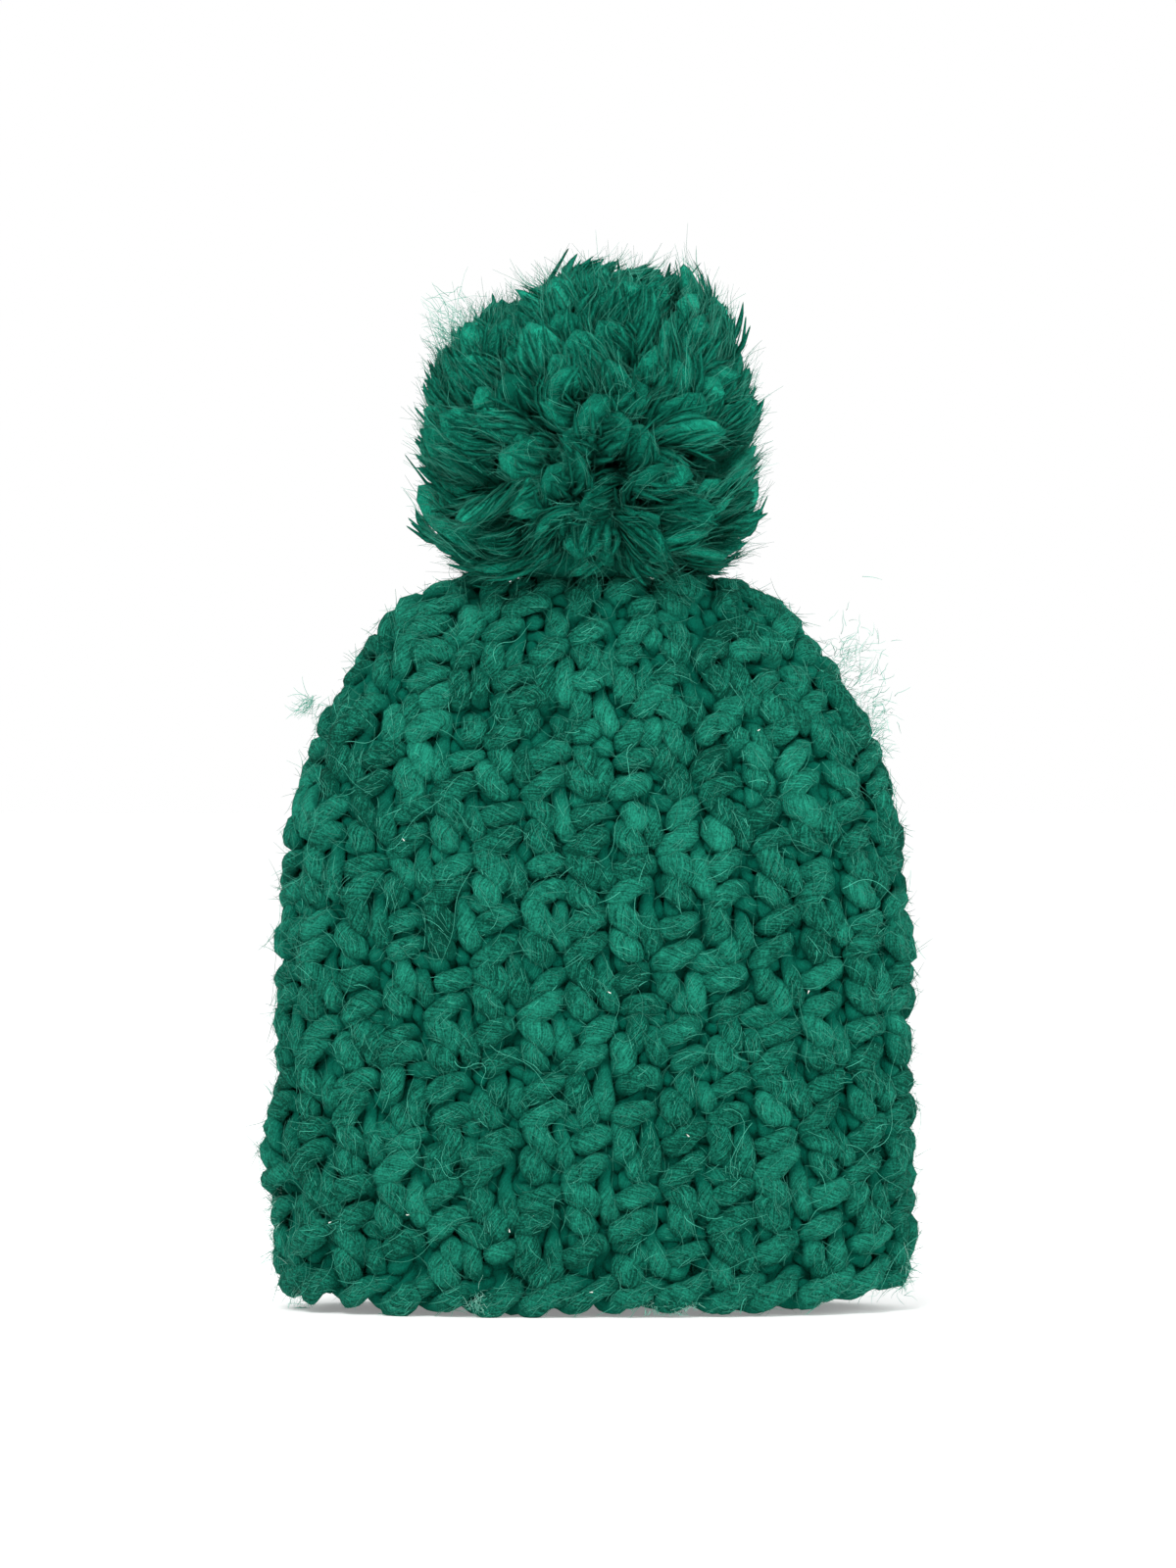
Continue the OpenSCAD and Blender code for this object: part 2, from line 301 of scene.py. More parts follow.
thick = np.concatenate([yarnThickness(n, 31 * k, 60 + k) for k, n in enumerate(rowSizes)])
radius = knit["radius"] * thick * (1 + 0.19 * allRows[:, 3])


# All pairs of points closer than reach, found by sorting the points into cells of that size.
def nearPairs(p, reach):
    cell = np.floor((p - p.min(0)) / reach).astype(np.int64) + 1
    size = cell.max(0) + 2
    key = (cell[:, 0] * size[1] + cell[:, 1]) * size[2] + cell[:, 2]
    order = np.argsort(key, kind="stable")
    ordered = key[order]
    first, second = [], []
    beside = (-1, 0, 1)
    for dx, dy, dz in [(x, y, z) for x in beside for y in beside for z in beside if (x, y, z) >= (0, 0, 0)]:
        want = key + (dx * size[1] + dy) * size[2] + dz
        a, b = np.searchsorted(ordered, want), np.searchsorted(ordered, want, side="right")
        n = b - a
        i = np.repeat(np.arange(len(p)), n)
        j = order[np.repeat(a - np.r_[0, np.cumsum(n)[:-1]], n) + np.arange(n.sum())]
        if (dx, dy, dz) == (0, 0, 0):
            keep = i < j
            i, j = i[keep], j[keep]
        near = ((p[i] - p[j]) ** 2).sum(1) < reach ** 2
        first.append(i[near])
        second.append(j[near])
    return np.concatenate(first), np.concatenate(second)


relaxing = dict(steps=48, pairsEvery=8, push=0.75, squeeze=0.74, smooth=0.08, home=0.06, apart=9)


# Pushes apart stretches of yarn that overlap, keeps the yarn smooth, and pulls each point gently home.
# Every step moves a point by the mean push of its contacts plus shares of the way to its neighbours' middle
# and to where it began.
def relaxYarn(path, radius, relaxing):
    home = path.copy()
    ring = np.repeat(np.arange(len(rowSizes)), rowSizes)
    place = np.arange(len(path)) - rowStart[ring]
    after = rowStart[ring] + (place + 1) % rowSizes[ring]
    before = rowStart[ring] + (place - 1) % rowSizes[ring]
    p = path.copy()
    i = j = None
    for step in range(relaxing["steps"]):
        if step % relaxing["pairsEvery"] == 0:
            i, j = nearPairs(p, 2.5 * knit["radius"])
            gap = np.abs(place[i] - place[j])
            gap = np.minimum(gap, rowSizes[ring[i]] - gap)
            keep = (ring[i] != ring[j]) | (gap > relaxing["apart"])
            i, j = i[keep], j[keep]
        d = p[j] - p[i]
        dist = np.sqrt((d ** 2).sum(1)) + 1e-6
        over = (radius[i] + radius[j]) * relaxing["squeeze"] - dist
        hit = over > 0
        a, b, push = i[hit], j[hit], (d[hit] / dist[hit, None]) * (over[hit, None] * 0.5)
        n = len(p)
        count = np.bincount(a, minlength=n) + np.bincount(b, minlength=n)
        move = [np.bincount(b, push[:, k], n) - np.bincount(a, push[:, k], n) for k in range(3)]
        p += np.stack(move, axis=1) / np.maximum(count, 1)[:, None] * relaxing["push"] * 1.6
        p += ((p[after] + p[before]) / 2 - p) * relaxing["smooth"]
        p += (home - p) * relaxing["home"]
        p[:, 2] = np.maximum(p[:, 2], radius * 0.95)           # nothing goes under the floor
    return p


path = relaxYarn(path, radius, relaxing)
print("yarn relaxed")

# loose yarn swells where it is free on either face of the fabric, and is pinched where it passes through
outward = ((path - position) * normal).sum(1)
swell = dict(pinch=0.66, free=1.14, at=3.6)
free = np.clip(np.abs(outward) / swell["at"], 0, 1)
radius = radius * (swell["pinch"] + (swell["free"] - swell["pinch"]) * free ** 1.1)


# Vectors scaled to length one.
def unit(v):
    return v / np.maximum(np.linalg.norm(v, axis=-1, keepdims=True), 1e-9)


# Carries a circle along a closed path. At each point the circle lies square to the path, with its top
# towards out; flat squashes it that way. Returns vertices [points, sides, xyz].
def tubeRing(centre, out, r, sides, flat):
    tangent = unit(np.roll(centre, -1, axis=0) - np.roll(centre, 1, axis=0))
    side = unit(np.cross(tangent, out) + 1e-6)
    for _ in range(4):
        side = side + np.roll(side, 1, axis=0) + np.roll(side, -1, axis=0)
        side = unit(side - tangent * (side * tangent).sum(1, keepdims=True))
    up = np.cross(side, tangent)
    a = np.linspace(0, 2 * np.pi, sides, endpoint=False)
    return centre[:, None] + r[:, None, None] * (side[:, None] * np.cos(a)[None, :, None]
                                                 + up[:, None] * (np.sin(a) * flat)[None, :, None])


# Quads that join ring after ring; a closed tube also joins its last ring to its first.
def gridFaces(rings, sides, start=0, closed=True):
    i = np.arange(rings if closed else rings - 1)[:, None]
    k = np.arange(sides)[None, :]
    a, b = i * sides, ((i + 1) % rings) * sides
    n = (k + 1) % sides
    return (np.stack([a + k, b + k, b + n, a + n], axis=2).reshape(-1, 4)) + start


# Triangles that close an open tube, from one point for each end that follows the rings' own vertices.
def endFans(rings, sides):
    k = np.arange(sides)
    n, tips, last = (k + 1) % sides, rings * sides, (rings - 1) * sides
    return np.concatenate([np.stack([np.full(sides, tips), k, n], 1),
                           np.stack([np.full(sides, tips + 1), last + n, last + k], 1)])


# Puts whole arrays into a mesh: vertices in mm, quads, end triangles, one uv and any number of point values.
def makeObject(name, verts, quads, tris=None, uv=None, attributes=None):
    mesh = bpy.data.meshes.new(name)
    nq, nt = len(quads), 0 if tris is None else len(tris)
    loops = quads.reshape(-1) if nt == 0 else np.concatenate([quads.reshape(-1), tris.reshape(-1)])
    mesh.vertices.add(len(verts))
    mesh.vertices.foreach_set("co", (verts * mm).astype(np.float32).reshape(-1))
    mesh.loops.add(len(loops))
    mesh.loops.foreach_set("vertex_index", loops.astype(np.int32))
    starts = np.r_[np.arange(nq) * 4, nq * 4 + np.arange(nt) * 3].astype(np.int32)
    mesh.polygons.add(nq + nt)
    mesh.polygons.foreach_set("loop_start", starts)
    mesh.polygons.foreach_set("use_smooth", np.full(nq + nt, True))
    if uv is not None:
        layer = mesh.uv_layers.new(name="along")
        layer.data.foreach_set("uv", uv.astype(np.float32).reshape(-1))
    for key, values in (attributes or {}).items():
        mesh.attributes.new(key, "FLOAT", "POINT").data.foreach_set("value", values.astype(np.float32))
    mesh.update()
    mesh.validate()
    obj = bpy.data.objects.new(name, mesh)
    bpy.context.collection.objects.link(obj)
    return obj


# Uv of each quad's corners: distance along the yarn in mm, from the last axis of length, and the share of a
# turn round it.
def quadUv(rings, sides, length, closed=True):
    i = np.arange(rings if closed else rings - 1)[:, None] + np.zeros((1, sides), int)
    k = np.arange(sides)[None, :] + np.zeros((len(i), 1), int)
    a, b = length[..., i], length[..., i + 1]
    u0, u1 = np.broadcast_to(k / sides, a.shape), np.broadcast_to((k + 1) / sides, a.shape)
    corners = [np.stack(pair, axis=-1) for pair in ((a, u0), (b, u0), (b, u1), (a, u1))]
    return np.stack(corners, axis=-2).reshape(-1, 2)


tube = dict(sides=10, flat=0.76)


# The yarn of several rows as closed tubes, with its outward distance kept for the painted shade of the
# hollows.
def rowMesh(rowIndices, name):
    verts, faces, uvs, shade, tone = [], [], [], [], []
    start = 0
    for r in rowIndices:
        span = slice(rowStart[r], rowStart[r] + rowSizes[r])
        centre, out = path[span], normal[span]
        ring = tubeRing(centre, out, radius[span], tube["sides"], tube["flat"])
        step = np.linalg.norm(np.roll(centre, -1, axis=0) - centre, axis=1)
        length = np.r_[0, np.cumsum(step)] + r * 517.0
        # a loose single ply is not round: slow lumps run round and along it
        a = np.linspace(0, 2 * np.pi, tube["sides"], endpoint=False)
        along, around = length[:-1, None], a[None]
        lump = (1 + 0.06 * np.sin(around * 2 + along * 0.31) + 0.05 * np.sin(around * 3 - along * 0.53)
                + 0.035 * np.sin(around * 5 + along * 1.1))
        ring = centre[:, None] + (ring - centre[:, None]) * lump[..., None]
        # how far out each vertex lies; the material paints the deeper ones with the hollows' painted shade
        depth = ((ring - position[span][:, None]) * out[:, None]).sum(2)
        verts.append(ring.reshape(-1, 3))
        faces.append(gridFaces(len(centre), tube["sides"], start))
        uvs.append(quadUv(len(centre), tube["sides"], length))
        shade.append(depth.reshape(-1))
        tone.append(np.repeat(smoothNoise(length[:-1] * 0.02, 11), tube["sides"]))
        start += ring.shape[0] * ring.shape[1]
    return makeObject(name, np.concatenate(verts), np.concatenate(faces), uv=np.concatenate(uvs),
                      attributes={"out": np.concatenate(shade), "tone": np.concatenate(tone)})


inCrown = [rows[r][:, 1].mean() >= knit["crownFrom"] for r in range(edgeRings[0])]
bodyRows = [r for r, crown in enumerate(inCrown) if not crown]
crownRows = [r for r, crown in enumerate(inCrown) if crown]
third = -(-len(bodyRows) // 3)
knitPieces = [rowMesh(bodyRows[k * third:(k + 1) * third], "knit_rows_%d" % (k + 1)) for k in range(3)]
crownPiece = rowMesh(crownRows, "crown_rows")
edgePiece = rowMesh(edgeRings, "cast_on_rope")
print("knitted rows made:", [len(o.data.polygons) for o in knitPieces + [crownPiece]])


# A new material, its node tree and its main shader.
def newMaterial(name):
    material = bpy.data.materials.new(name)
    material.use_nodes = True
    return material, material.node_tree, material.node_tree.nodes["Principled BSDF"]


# Gives a node's inputs an output, which is linked, or a plain value.
def feed(tree, node, inputs):
    for key, value in inputs.items():
        if isinstance(value, bpy.types.NodeSocket):
            tree.links.new(value, node.inputs[key])
        else:
            node.inputs[key].default_value = value
    return node


# A new shader node: settings are its own choices, and its inputs are fed.
def addNode(tree, kind, inputs={}, **settings):
    node = tree.nodes.new("ShaderNode" + kind)
    for key, value in settings.items():
        setattr(node, key, value)
    return feed(tree, node, inputs)


# One step of arithmetic.
def calc(tree, operation, *values):
    return addNode(tree, "Math", dict(enumerate(values)), operation=operation).outputs[0]


# 0 at least and 1 at most, held there beyond them.
def scaled(tree, value, least, most):
    limits = {"Value": value, "From Min": least, "From Max": most}
    return addNode(tree, "MapRange", limits).outputs["Result"]


def pointValue(tree, name):
    return addNode(tree, "Attribute", attribute_name=name).outputs["Fac"]


def noise(tree, vector, scale, detail, **more):
    inputs = {"Vector": vector, "Scale": scale, "Detail": detail, **more}
    return addNode(tree, "TexNoise", inputs).outputs["Fac"]


# Loose fibre along a yarn. Streaks run with the uv's length; inputs set their fineness and the colours, and
# the outputs are a colour and a height; where Depth is low the colour turns to the hollows' painted shade.
def woolGroup():
    tree = bpy.data.node_groups.new("looseFibre", "ShaderNodeTree")
    colours = dict(Light=(0.1, 0.4, 0.3, 1), Body=(0, 0.1, 0.1, 1), PaintedShade=(0, 0.02, 0.01, 1))
    for name, value in dict(colours, Depth=1.0, Tone=0.0, Along=0.06, Across=8.0).items():
        kind = "NodeSocketColor" if name in colours else "NodeSocketFloat"
        tree.interface.new_socket(name=name, in_out="INPUT", socket_type=kind).default_value = value
    tree.interface.new_socket(name="Color", in_out="OUTPUT", socket_type="NodeSocketColor")
    tree.interface.new_socket(name="Height", in_out="OUTPUT", socket_type="NodeSocketFloat")
    given, out = tree.nodes.new("NodeGroupInput").outputs, tree.nodes.new("NodeGroupOutput")
    uv = addNode(tree, "UVMap", uv_map="along").outputs["UV"]
    along, turn, _ = addNode(tree, "SeparateXYZ", {0: uv}).outputs
    turned = calc(tree, "MULTIPLY", along, 0.05)                       # the ply's slow twist
    around = calc(tree, "MULTIPLY", calc(tree, "ADD", turn, turned), 6.28319)
    circle = addNode(tree, "CombineXYZ", {                             # round the yarn without a seam
        0: calc(tree, "MULTIPLY", along, given["Along"]),
        1: calc(tree, "MULTIPLY", calc(tree, "SINE", around), given["Across"]),
        2: calc(tree, "MULTIPLY", calc(tree, "COSINE", around), given["Across"])}).outputs[0]
    fine = noise(tree, circle, 1.0, 5.0, Roughness=0.62, Distortion=0.5)
    place = addNode(tree, "TexCoord").outputs["Object"]
    cloud = noise(tree, place, 260.0, 3.0)                             # matted patches
    speck = noise(tree, place, 1400.0, 2.0)                            # single fibres across the ply
    height = calc(tree, "ADD", calc(tree, "MULTIPLY", fine, 0.50),
                  calc(tree, "ADD", calc(tree, "MULTIPLY", cloud, 0.20), calc(tree, "MULTIPLY", speck, 0.30)))
    toned = calc(tree, "ADD", height, calc(tree, "MULTIPLY", given["Tone"], 0.05))
    light = scaled(tree, toned, 0.43, 0.68)
    body = addNode(tree, "Mix", {"Factor": light, "A": given["Body"], "B": given["Light"]}, data_type="RGBA")
    # painted shade: points lying deep in the fabric take the hollows' painted colour in place of the fibre
    # colours
    deep = addNode(tree, "Mix", {"Factor": given["Depth"], "A": given["PaintedShade"], "B": body.outputs["Result"]},
                   data_type="RGBA")
    feed(tree, out, {"Color": deep.outputs["Result"], "Height": height})
    return tree


looseFibre = woolGroup()


# Matt wool; the out attribute is how far out a point lies, and runs from shallow to full: below shallow a
# point takes the painted shade of the hollows, and above full none of it.
def woolMaterial(name, light, body, paintedShade, shallow, full, along=0.16, across=7.0, bumpHeight=0.0022):
    material, tree, shader = newMaterial(name)
    depth = scaled(tree, calc(tree, "ABSOLUTE", pointValue(tree, "out")), shallow, full)
    group = addNode(tree, "Group", {"Light": (*light, 1), "Body": (*body, 1), "PaintedShade": (*paintedShade, 1),
                                    "Along": along, "Across": across, "Depth": depth,
                                    "Tone": pointValue(tree, "tone")}, node_tree=looseFibre)
    bump = addNode(tree, "Bump", {"Strength": 1.0, "Distance": bumpHeight, "Height": group.outputs["Height"]})
    feed(tree, shader, {"Base Color": group.outputs["Color"], "Normal": bump.outputs["Normal"],
                        "Roughness": 0.95, "Specular IOR Level": 0.05, "Sheen Weight": 0.03,
                        "Sheen Roughness": 0.6, "Sheen Tint": (0.1, 0.75, 0.5, 1)})
    return material


# painted light and shade for the hollows: the knit's hollow colour is lighter than its body colour, painting
# light into its shaded hollows, and the pom's is darker, a painted shade
green = dict(light=(0.021, 0.350, 0.229), body=(0.0006, 0.050, 0.031), paintedShade=(0.0011, 0.140, 0.090))
# the pom's colours are the same wool painted lighter, to make up for the shade among its tufts
pomGreenPaintedLighter = dict(light=(0.019, 0.48, 0.307), body=(0.0014, 0.118, 0.074), paintedShade=(0.0010, 0.088, 0.056))
knitWool = woolMaterial("knitWool", **green, shallow=2.0, full=5.8)
pomWool = woolMaterial("pomWool", **pomGreenPaintedLighter, shallow=0.40, full=0.95, along=0.08, across=9.0,
                       bumpHeight=0.0014)

for piece in knitPieces + [crownPiece, edgePiece]:
    piece.data.materials.append(knitWool)
    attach(piece, "hat")
for piece in knitPieces:
    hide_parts("knit_body")
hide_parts("crown")
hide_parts("cast_on_edge")

# the pom
pom = dict(
    tufts=250,
    waist=(0.0, 0.0, 283.0),     # where its yarn is bound
    middle=300.0,                # height of its widest level
    half=(53.5, 54.0),           # half width and depth
    aside=-1.5,                  # its middle sits this far along X
    top=45.0,                    # above the widest level
    bottom=60.0,                 # and below it, before the crown holds the underside up
    overCrown=247.0,             # the underside's height over the crown
    drop=12.0,                   # and how much lower it hangs beside it
    power=2.45,                  # fullness above
    lowerPower=(2.6, 4.4),       # and below, to front and back and toward the sides
    square=0.05,                 # its upper right is fuller
    cut=0.21,                    # and its upper left is cut flatter
    halfWidth=9.0,               # of a tuft
    thickness=3.6,
    lean=0.62,                   # how far a tuft's end bends away from the waist's level
    locks=30,                    # strips of fibre on each tuft
    lockWidth=1.55,
    paintedShade=(2.0, -52, 277),      # the middle of the painted shade on the front of the pom
    hollowReach=24.0,
    hollowShade=0.32,
)


# Directions spread evenly over a sphere, by equal heights and the golden angle.
def spread(count):
    k = np.arange(count) + 0.5
    z = 1 - 2 * k / count
    a = k * 2.399963
    return np.stack([np.cos(a) * np.sqrt(1 - z * z), np.sin(a) * np.sqrt(1 - z * z), z], axis=1)


# 0 over the crown's middle, rising to 1 beside it.
def besideCrown(p):
    return np.clip(np.hypot(p[..., 0] / 80, p[..., 1] / 44) - 0.15, 0, 1)


# Each tuft's middle line: out from the waist and over to its tip on the pom's outline, a superellipsoid
# whose underside hangs lower in front and behind; its last part leans away from the waist's level.
# Returns points [tuft, step, xyz] and the outline's outward normals at the tips.
def tuftSpines(pom, steps=14):
    r = np.random.default_rng(21)
    d = unit(spread(pom["tufts"]) + r.normal(0, 0.045, (pom["tufts"], 3)))
    ends = d[:, :1] ** 2 / (d[:, :1] ** 2 + d[:, 1:2] ** 2 + 1e-9)    # 1 toward the sides, 0 front and back
    inFront, atSides = pom["lowerPower"]
    n = np.where(d[:, 2:] > 0, pom["power"], inFront + (atSides - inFront) * ends)
    half = np.stack([np.full(len(d), pom["half"][0]), np.full(len(d), pom["half"][1]),
                     np.where(d[:, 2] > 0, pom["top"], pom["bottom"])], axis=1)
    size = ((np.abs(d) / half) ** n).sum(1, keepdims=True) ** (-1 / n)
    right = (np.clip(d @ unit(np.array([0.68, 0.1, 0.75])), 0, 1) ** 14
             - 1.3 * np.clip(d @ unit(np.array([0.90, 0.0, 0.44])), 0, 1) ** 20)
    left = np.clip(d @ unit(np.array([-0.62, -0.1, 0.78])), 0, 1) ** 8
    size = size * (1 + pom["square"] * right - pom["cut"] * left)[:, None]
    tip = d * size * (1 + r.normal(0, 0.028, (len(d), 1)))
    outline = unit(np.sign(tip) * (np.abs(tip) / half) ** (n - 1) / half)
    tip += np.array([pom["aside"], 0, pom["middle"]])
    under = pom["overCrown"] - pom["drop"] * besideCrown(tip) + r.uniform(0, 3, len(d))
    tip[:, 2] = np.maximum(tip[:, 2], under)
    start = np.array(pom["waist"]) + unit(tip - np.array(pom["waist"])) * 9
    away = tip - np.array([0, 0, pom["waist"][2] - 14])
    away[:, 1] *= 0.35
    away = unit(away - outline * (away * outline).sum(1, keepdims=True))
    stray = r.normal(0, 1, tip.shape)
    stray = unit(stray - outline * (stray * outline).sum(1, keepdims=True))
    lean = unit(away + 0.75 * stray)
    reach = np.linalg.norm(tip - start, axis=1, keepdims=True)
    bend = tip - outline * reach * 0.26 - lean * reach * pom["lean"] * 0.55
    early = start + (bend - start) * 0.45
    t = np.linspace(0, 1, steps)[None, :, None]
    p = ((1 - t) ** 3 * start[:, None] + 3 * (1 - t) ** 2 * t * early[:, None]
         + 3 * (1 - t) * t ** 2 * bend[:, None] + t ** 3 * tip[:, None])
    return p, outline


spines, tipNormals = tuftSpines(pom)


# Sideways and upright directions along every spine: upright is the outline's normal made square to it.
def tuftFrames(spines, tipNormals, roll):
    tangent = unit(np.gradient(spines, axis=1))
    up = tipNormals[:, None] + 0.35 * roll[:, None]
    up = unit(up - tangent * (up * tangent).sum(2, keepdims=True))
    return tangent, np.cross(tangent, up), up


roll = np.random.default_rng(22).normal(0, 1, tipNormals.shape)
tuftTangent, tuftSide, tuftUp = tuftFrames(spines, tipNormals, roll)
tuftSize = 1 + np.random.default_rng(23).normal(0, 0.14, len(spines)).clip(-0.3, 0.35)


# Many open strands at once: an ellipse carried along each centre line, closed by a fan at both ends.
# centre, side and up are [strand, step, xyz]; halfWidth and thickness are [strand, step].
def strandMesh(name, centre, side, up, halfWidth, thickness, sides, tip, depth, tone, offset=0.0):
    count, steps = centre.shape[:2]
    a = np.linspace(0, 2 * np.pi, sides, endpoint=False) + offset
    cos, sin = np.cos(a)[None, None, :, None], np.sin(a)[None, None, :, None]
    ring = (centre[:, :, None] + side[:, :, None] * (cos * halfWidth[..., None, None])
            + up[:, :, None] * (sin * thickness[..., None, None]))
    ends = np.stack([centre[:, 0], tip], axis=1)
    verts = np.concatenate([ring.reshape(count, steps * sides, 3), ends], axis=1)
    each = steps * sides + 2
    fans = endFans(steps, sides)
    shift = (np.arange(count) * each)[:, None, None]
    faces = (gridFaces(steps, sides, closed=False)[None] + shift).reshape(-1, 4)
    tris = (fans[None] + shift).reshape(-1, 3)
    step = np.linalg.norm(np.diff(centre, axis=1), axis=2)
    length = np.concatenate([np.zeros((count, 1)), np.cumsum(step, axis=1)], axis=1)
    length = length + np.arange(count)[:, None] * 37.0         # each strand has its own stretch of wool
    uvTris = np.zeros((len(tris) * 3, 2))
    uvTris[:, 0] = np.repeat(length[:, -1], len(fans) * 3)
    uvTris[:, 1] = np.tile(np.array([0.5, 1.0, 0.0]), len(tris))
    uv = np.concatenate([quadUv(steps, sides, length, closed=False), uvTris])
    deep = np.concatenate([np.repeat(depth, sides, axis=1), depth[:, :1], depth[:, -1:]], axis=1).reshape(-1)
    values = {"out": deep, "tone": np.repeat(tone, each)}
    return makeObject(name, verts.reshape(-1, 3), faces, tris, uv, values)


# Linear samples of [tuft, step, ...] tables at [tuft, many, sample] positions from 0 to 1.
def resample(table, t):
    steps = table.shape[1]
    x = np.clip(t, 0, 1) * (steps - 1)
    i = np.minimum(x.astype(int), steps - 2)
    f = (x - i)[..., None]
    k = np.arange(len(table))[:, None, None]
    return table[k, i] * (1 - f) + table[k, i + 1] * f


# A tuft's share of its full half width: slim at the waist, widest near four fifths, and drawn in at the tip.
def widthAt(t):
    opening = np.sin(np.clip(t / 0.82, 0, 1) * np.pi / 2) ** 1.6
    return 0.30 + 0.70 * opening - 0.50 * np.clip((t - 0.80) / 0.20, 0, 1) ** 1.8


# The tufts' cores, the locks that lie over them and the filling behind. A lock is a pointed strip of fibre:
# it starts beside its tuft's spine, follows it with a share of the width and thickness, and ends unevenly.
def makePom(pom):
    r = np.random.default_rng(24)
    count, steps = spines.shape[:2]
    t = np.broadcast_to(np.linspace(0, 1, steps), (count, steps))
    tone = smoothNoise(np.arange(count) * 1.7, 31) + r.normal(0, 0.5, count)
    half = pom["halfWidth"] * widthAt(t) * tuftSize[:, None] * 0.95
    thick = pom["thickness"] * widthAt(t) * tuftSize[:, None] * 0.8
    core = spines[:, 0][:, None] + (spines - spines[:, 0][:, None]) * 0.97
    # painted shade: a tuft's out value is its share of the way from the waist to the tip, made smaller round
    # the front's middle, so its inner part and that middle are painted with the darker hollow colour
    fromShadeMiddle = ((spines[:, -1] - np.array(pom["paintedShade"])) ** 2).sum(1)
    shaded = np.exp(-fromShadeMiddle / 2 / pom["hollowReach"] ** 2) * pom["hollowShade"]
    tip = core[:, -1] + tuftTangent[:, -1] * 3.0
    made = [strandMesh("pom_tufts", core, tuftSide, tuftUp, half, thick, 10, tip, t - shaded[:, None], tone)]
    n, m = pom["locks"], 6
    across = np.linspace(-1, 1, n)[None, :] + r.normal(0, 0.10, (count, n))
    over = r.choice([-1.0, 1.0, 1.0], (count, n)) * np.sqrt(np.clip(1 - across ** 2 * 0.9, 0.02, 1))
    short = r.random((count, n)) < 0.5                 # half of them only fringe the end
    first = np.where(short, r.uniform(0.66, 0.84, (count, n)), r.uniform(0.25, 0.55, (count, n)))
    final = np.where(short, r.uniform(0.92, 1.02, (count, n)), r.uniform(0.78, 0.97, (count, n)))
    final = final - 0.05 * across ** 2
    s = np.linspace(0, 1, m)[None, None] * (final - first)[..., None] + first[..., None]
    base, side, up, tangent = (resample(v, s) for v in (spines, tuftSide, tuftUp, tuftTangent))
    reach = np.linalg.norm(spines[:, -1] - spines[:, 0], axis=1)[:, None, None, None]
    past = np.clip(s - 1, 0, 1)[..., None] * reach
    share = widthAt(np.clip(s, 0, 1))
    w = (pom["halfWidth"] * share * tuftSize[:, None, None])[..., None]
    h = (pom["thickness"] * share * tuftSize[:, None, None])[..., None]
    splay = 1 + 0.22 * np.clip(s - 0.8, 0, 1)[..., None] / 0.25
    curl = r.normal(0, 1, (count, n, 1, 3)) * (np.linspace(0, 1, m) ** 2)[None, None, :, None] * 1.2
    slant = r.normal(0, 0.16, (count, n, 1, 1)) * (s - s[:, :, :1])[..., None] * reach  # matted, not combed
    p = (base + side * across[..., None, None] * w * splay + up * over[..., None, None] * h * 0.9
         + tangent * past + curl + side * slant)
    outline = np.array([0.5, 0.9, 1.0, 0.9, 0.65, 0.25])                # a lock's width from start to end
    wide = pom["lockWidth"] * outline[None, None] * r.uniform(0.7, 1.35, (count, n, 1))
    p, side, up = (v.reshape(count * n, m, 3) for v in (p, side, up))
    wide, s = (np.broadcast_to(v, (count, n, m)).reshape(count * n, m) for v in (wide, s))
    tones = np.repeat(tone, n) + r.normal(0, 0.45, count * n)
    # the locks carry the same painted shade as their tufts
    deep = s - np.repeat(shaded, n)[:, None]
    for k, part in enumerate((slice(0, count * n // 2), slice(count * n // 2, None))):
        tip = p[part, -1] + unit(p[part, -1] - p[part, -2]) * 1.0
        made.append(strandMesh("pom_locks_%d" % (k + 1), p[part], side[part], up[part], wide[part],
                               wide[part] * 0.34, 3, tip, deep[part], tones[part], offset=0.5))
    made.append(pomFilling(pom))
    return made


filling = dict(rings=22, sides=40, above=[38.0, 38.0, 36.0], below=[40.0, 29.0, 72.0], lower=6, inside=2.2)


# The imported yarn behind the tufts: a lumpy closed ball, a sphere scaled by smooth noise, above the crown;
# its out value of 0.55 and tone of -0.5 paint it mostly with the darker hollow colour, a painted shade.
def pomFilling(pom):
    rings, sides = filling["rings"], filling["sides"]
    v = np.linspace(0, np.pi, rings + 2)[1:-1, None]
    a = np.linspace(0, 2 * np.pi, sides, endpoint=False)[None]
    d = np.stack([np.sin(v) * np.cos(a), np.sin(v) * np.sin(a), np.cos(v) + 0 * a], axis=2)
    x, y, z = d[..., 0], d[..., 1], d[..., 2]
    lump = 1 + 0.05 * smoothNoise(x * 9 + z * 4, 91) + 0.05 * smoothNoise(y * 9 - z * 6, 92)
    size = np.where(d[..., 2:] > 0, filling["above"], filling["below"])
    p = d * size * lump[..., None] + np.array([pom["aside"], 0, pom["middle"] - filling["lower"]])
    under = pom["overCrown"] - filling["inside"] - pom["drop"] * besideCrown(p) * 0.9
    p[..., 2] = np.maximum(p[..., 2], under)
    ends = np.array([[pom["aside"], 0, p[0, :, 2].mean() + 0.4], [pom["aside"], 0, p[-1, :, 2].min() - 0.4]])
    quads, tris = gridFaces(rings, sides, closed=False), endFans(rings, sides)
    verts = np.concatenate([p.reshape(-1, 3), ends])
    uv = np.zeros((len(quads) * 4 + len(tris) * 3, 2))
    uv[:, 0] = np.linspace(0, 400, len(uv))
    # painted shade: 0.55 lies just past the pom's shallow depth of 0.40, so the ball is painted mostly with
    # the hollow colour
    return makeObject("pom_filling", verts, quads, tris, uv,
                      {"out": np.full(len(verts), 0.55), "tone": np.full(len(verts), -0.5)})


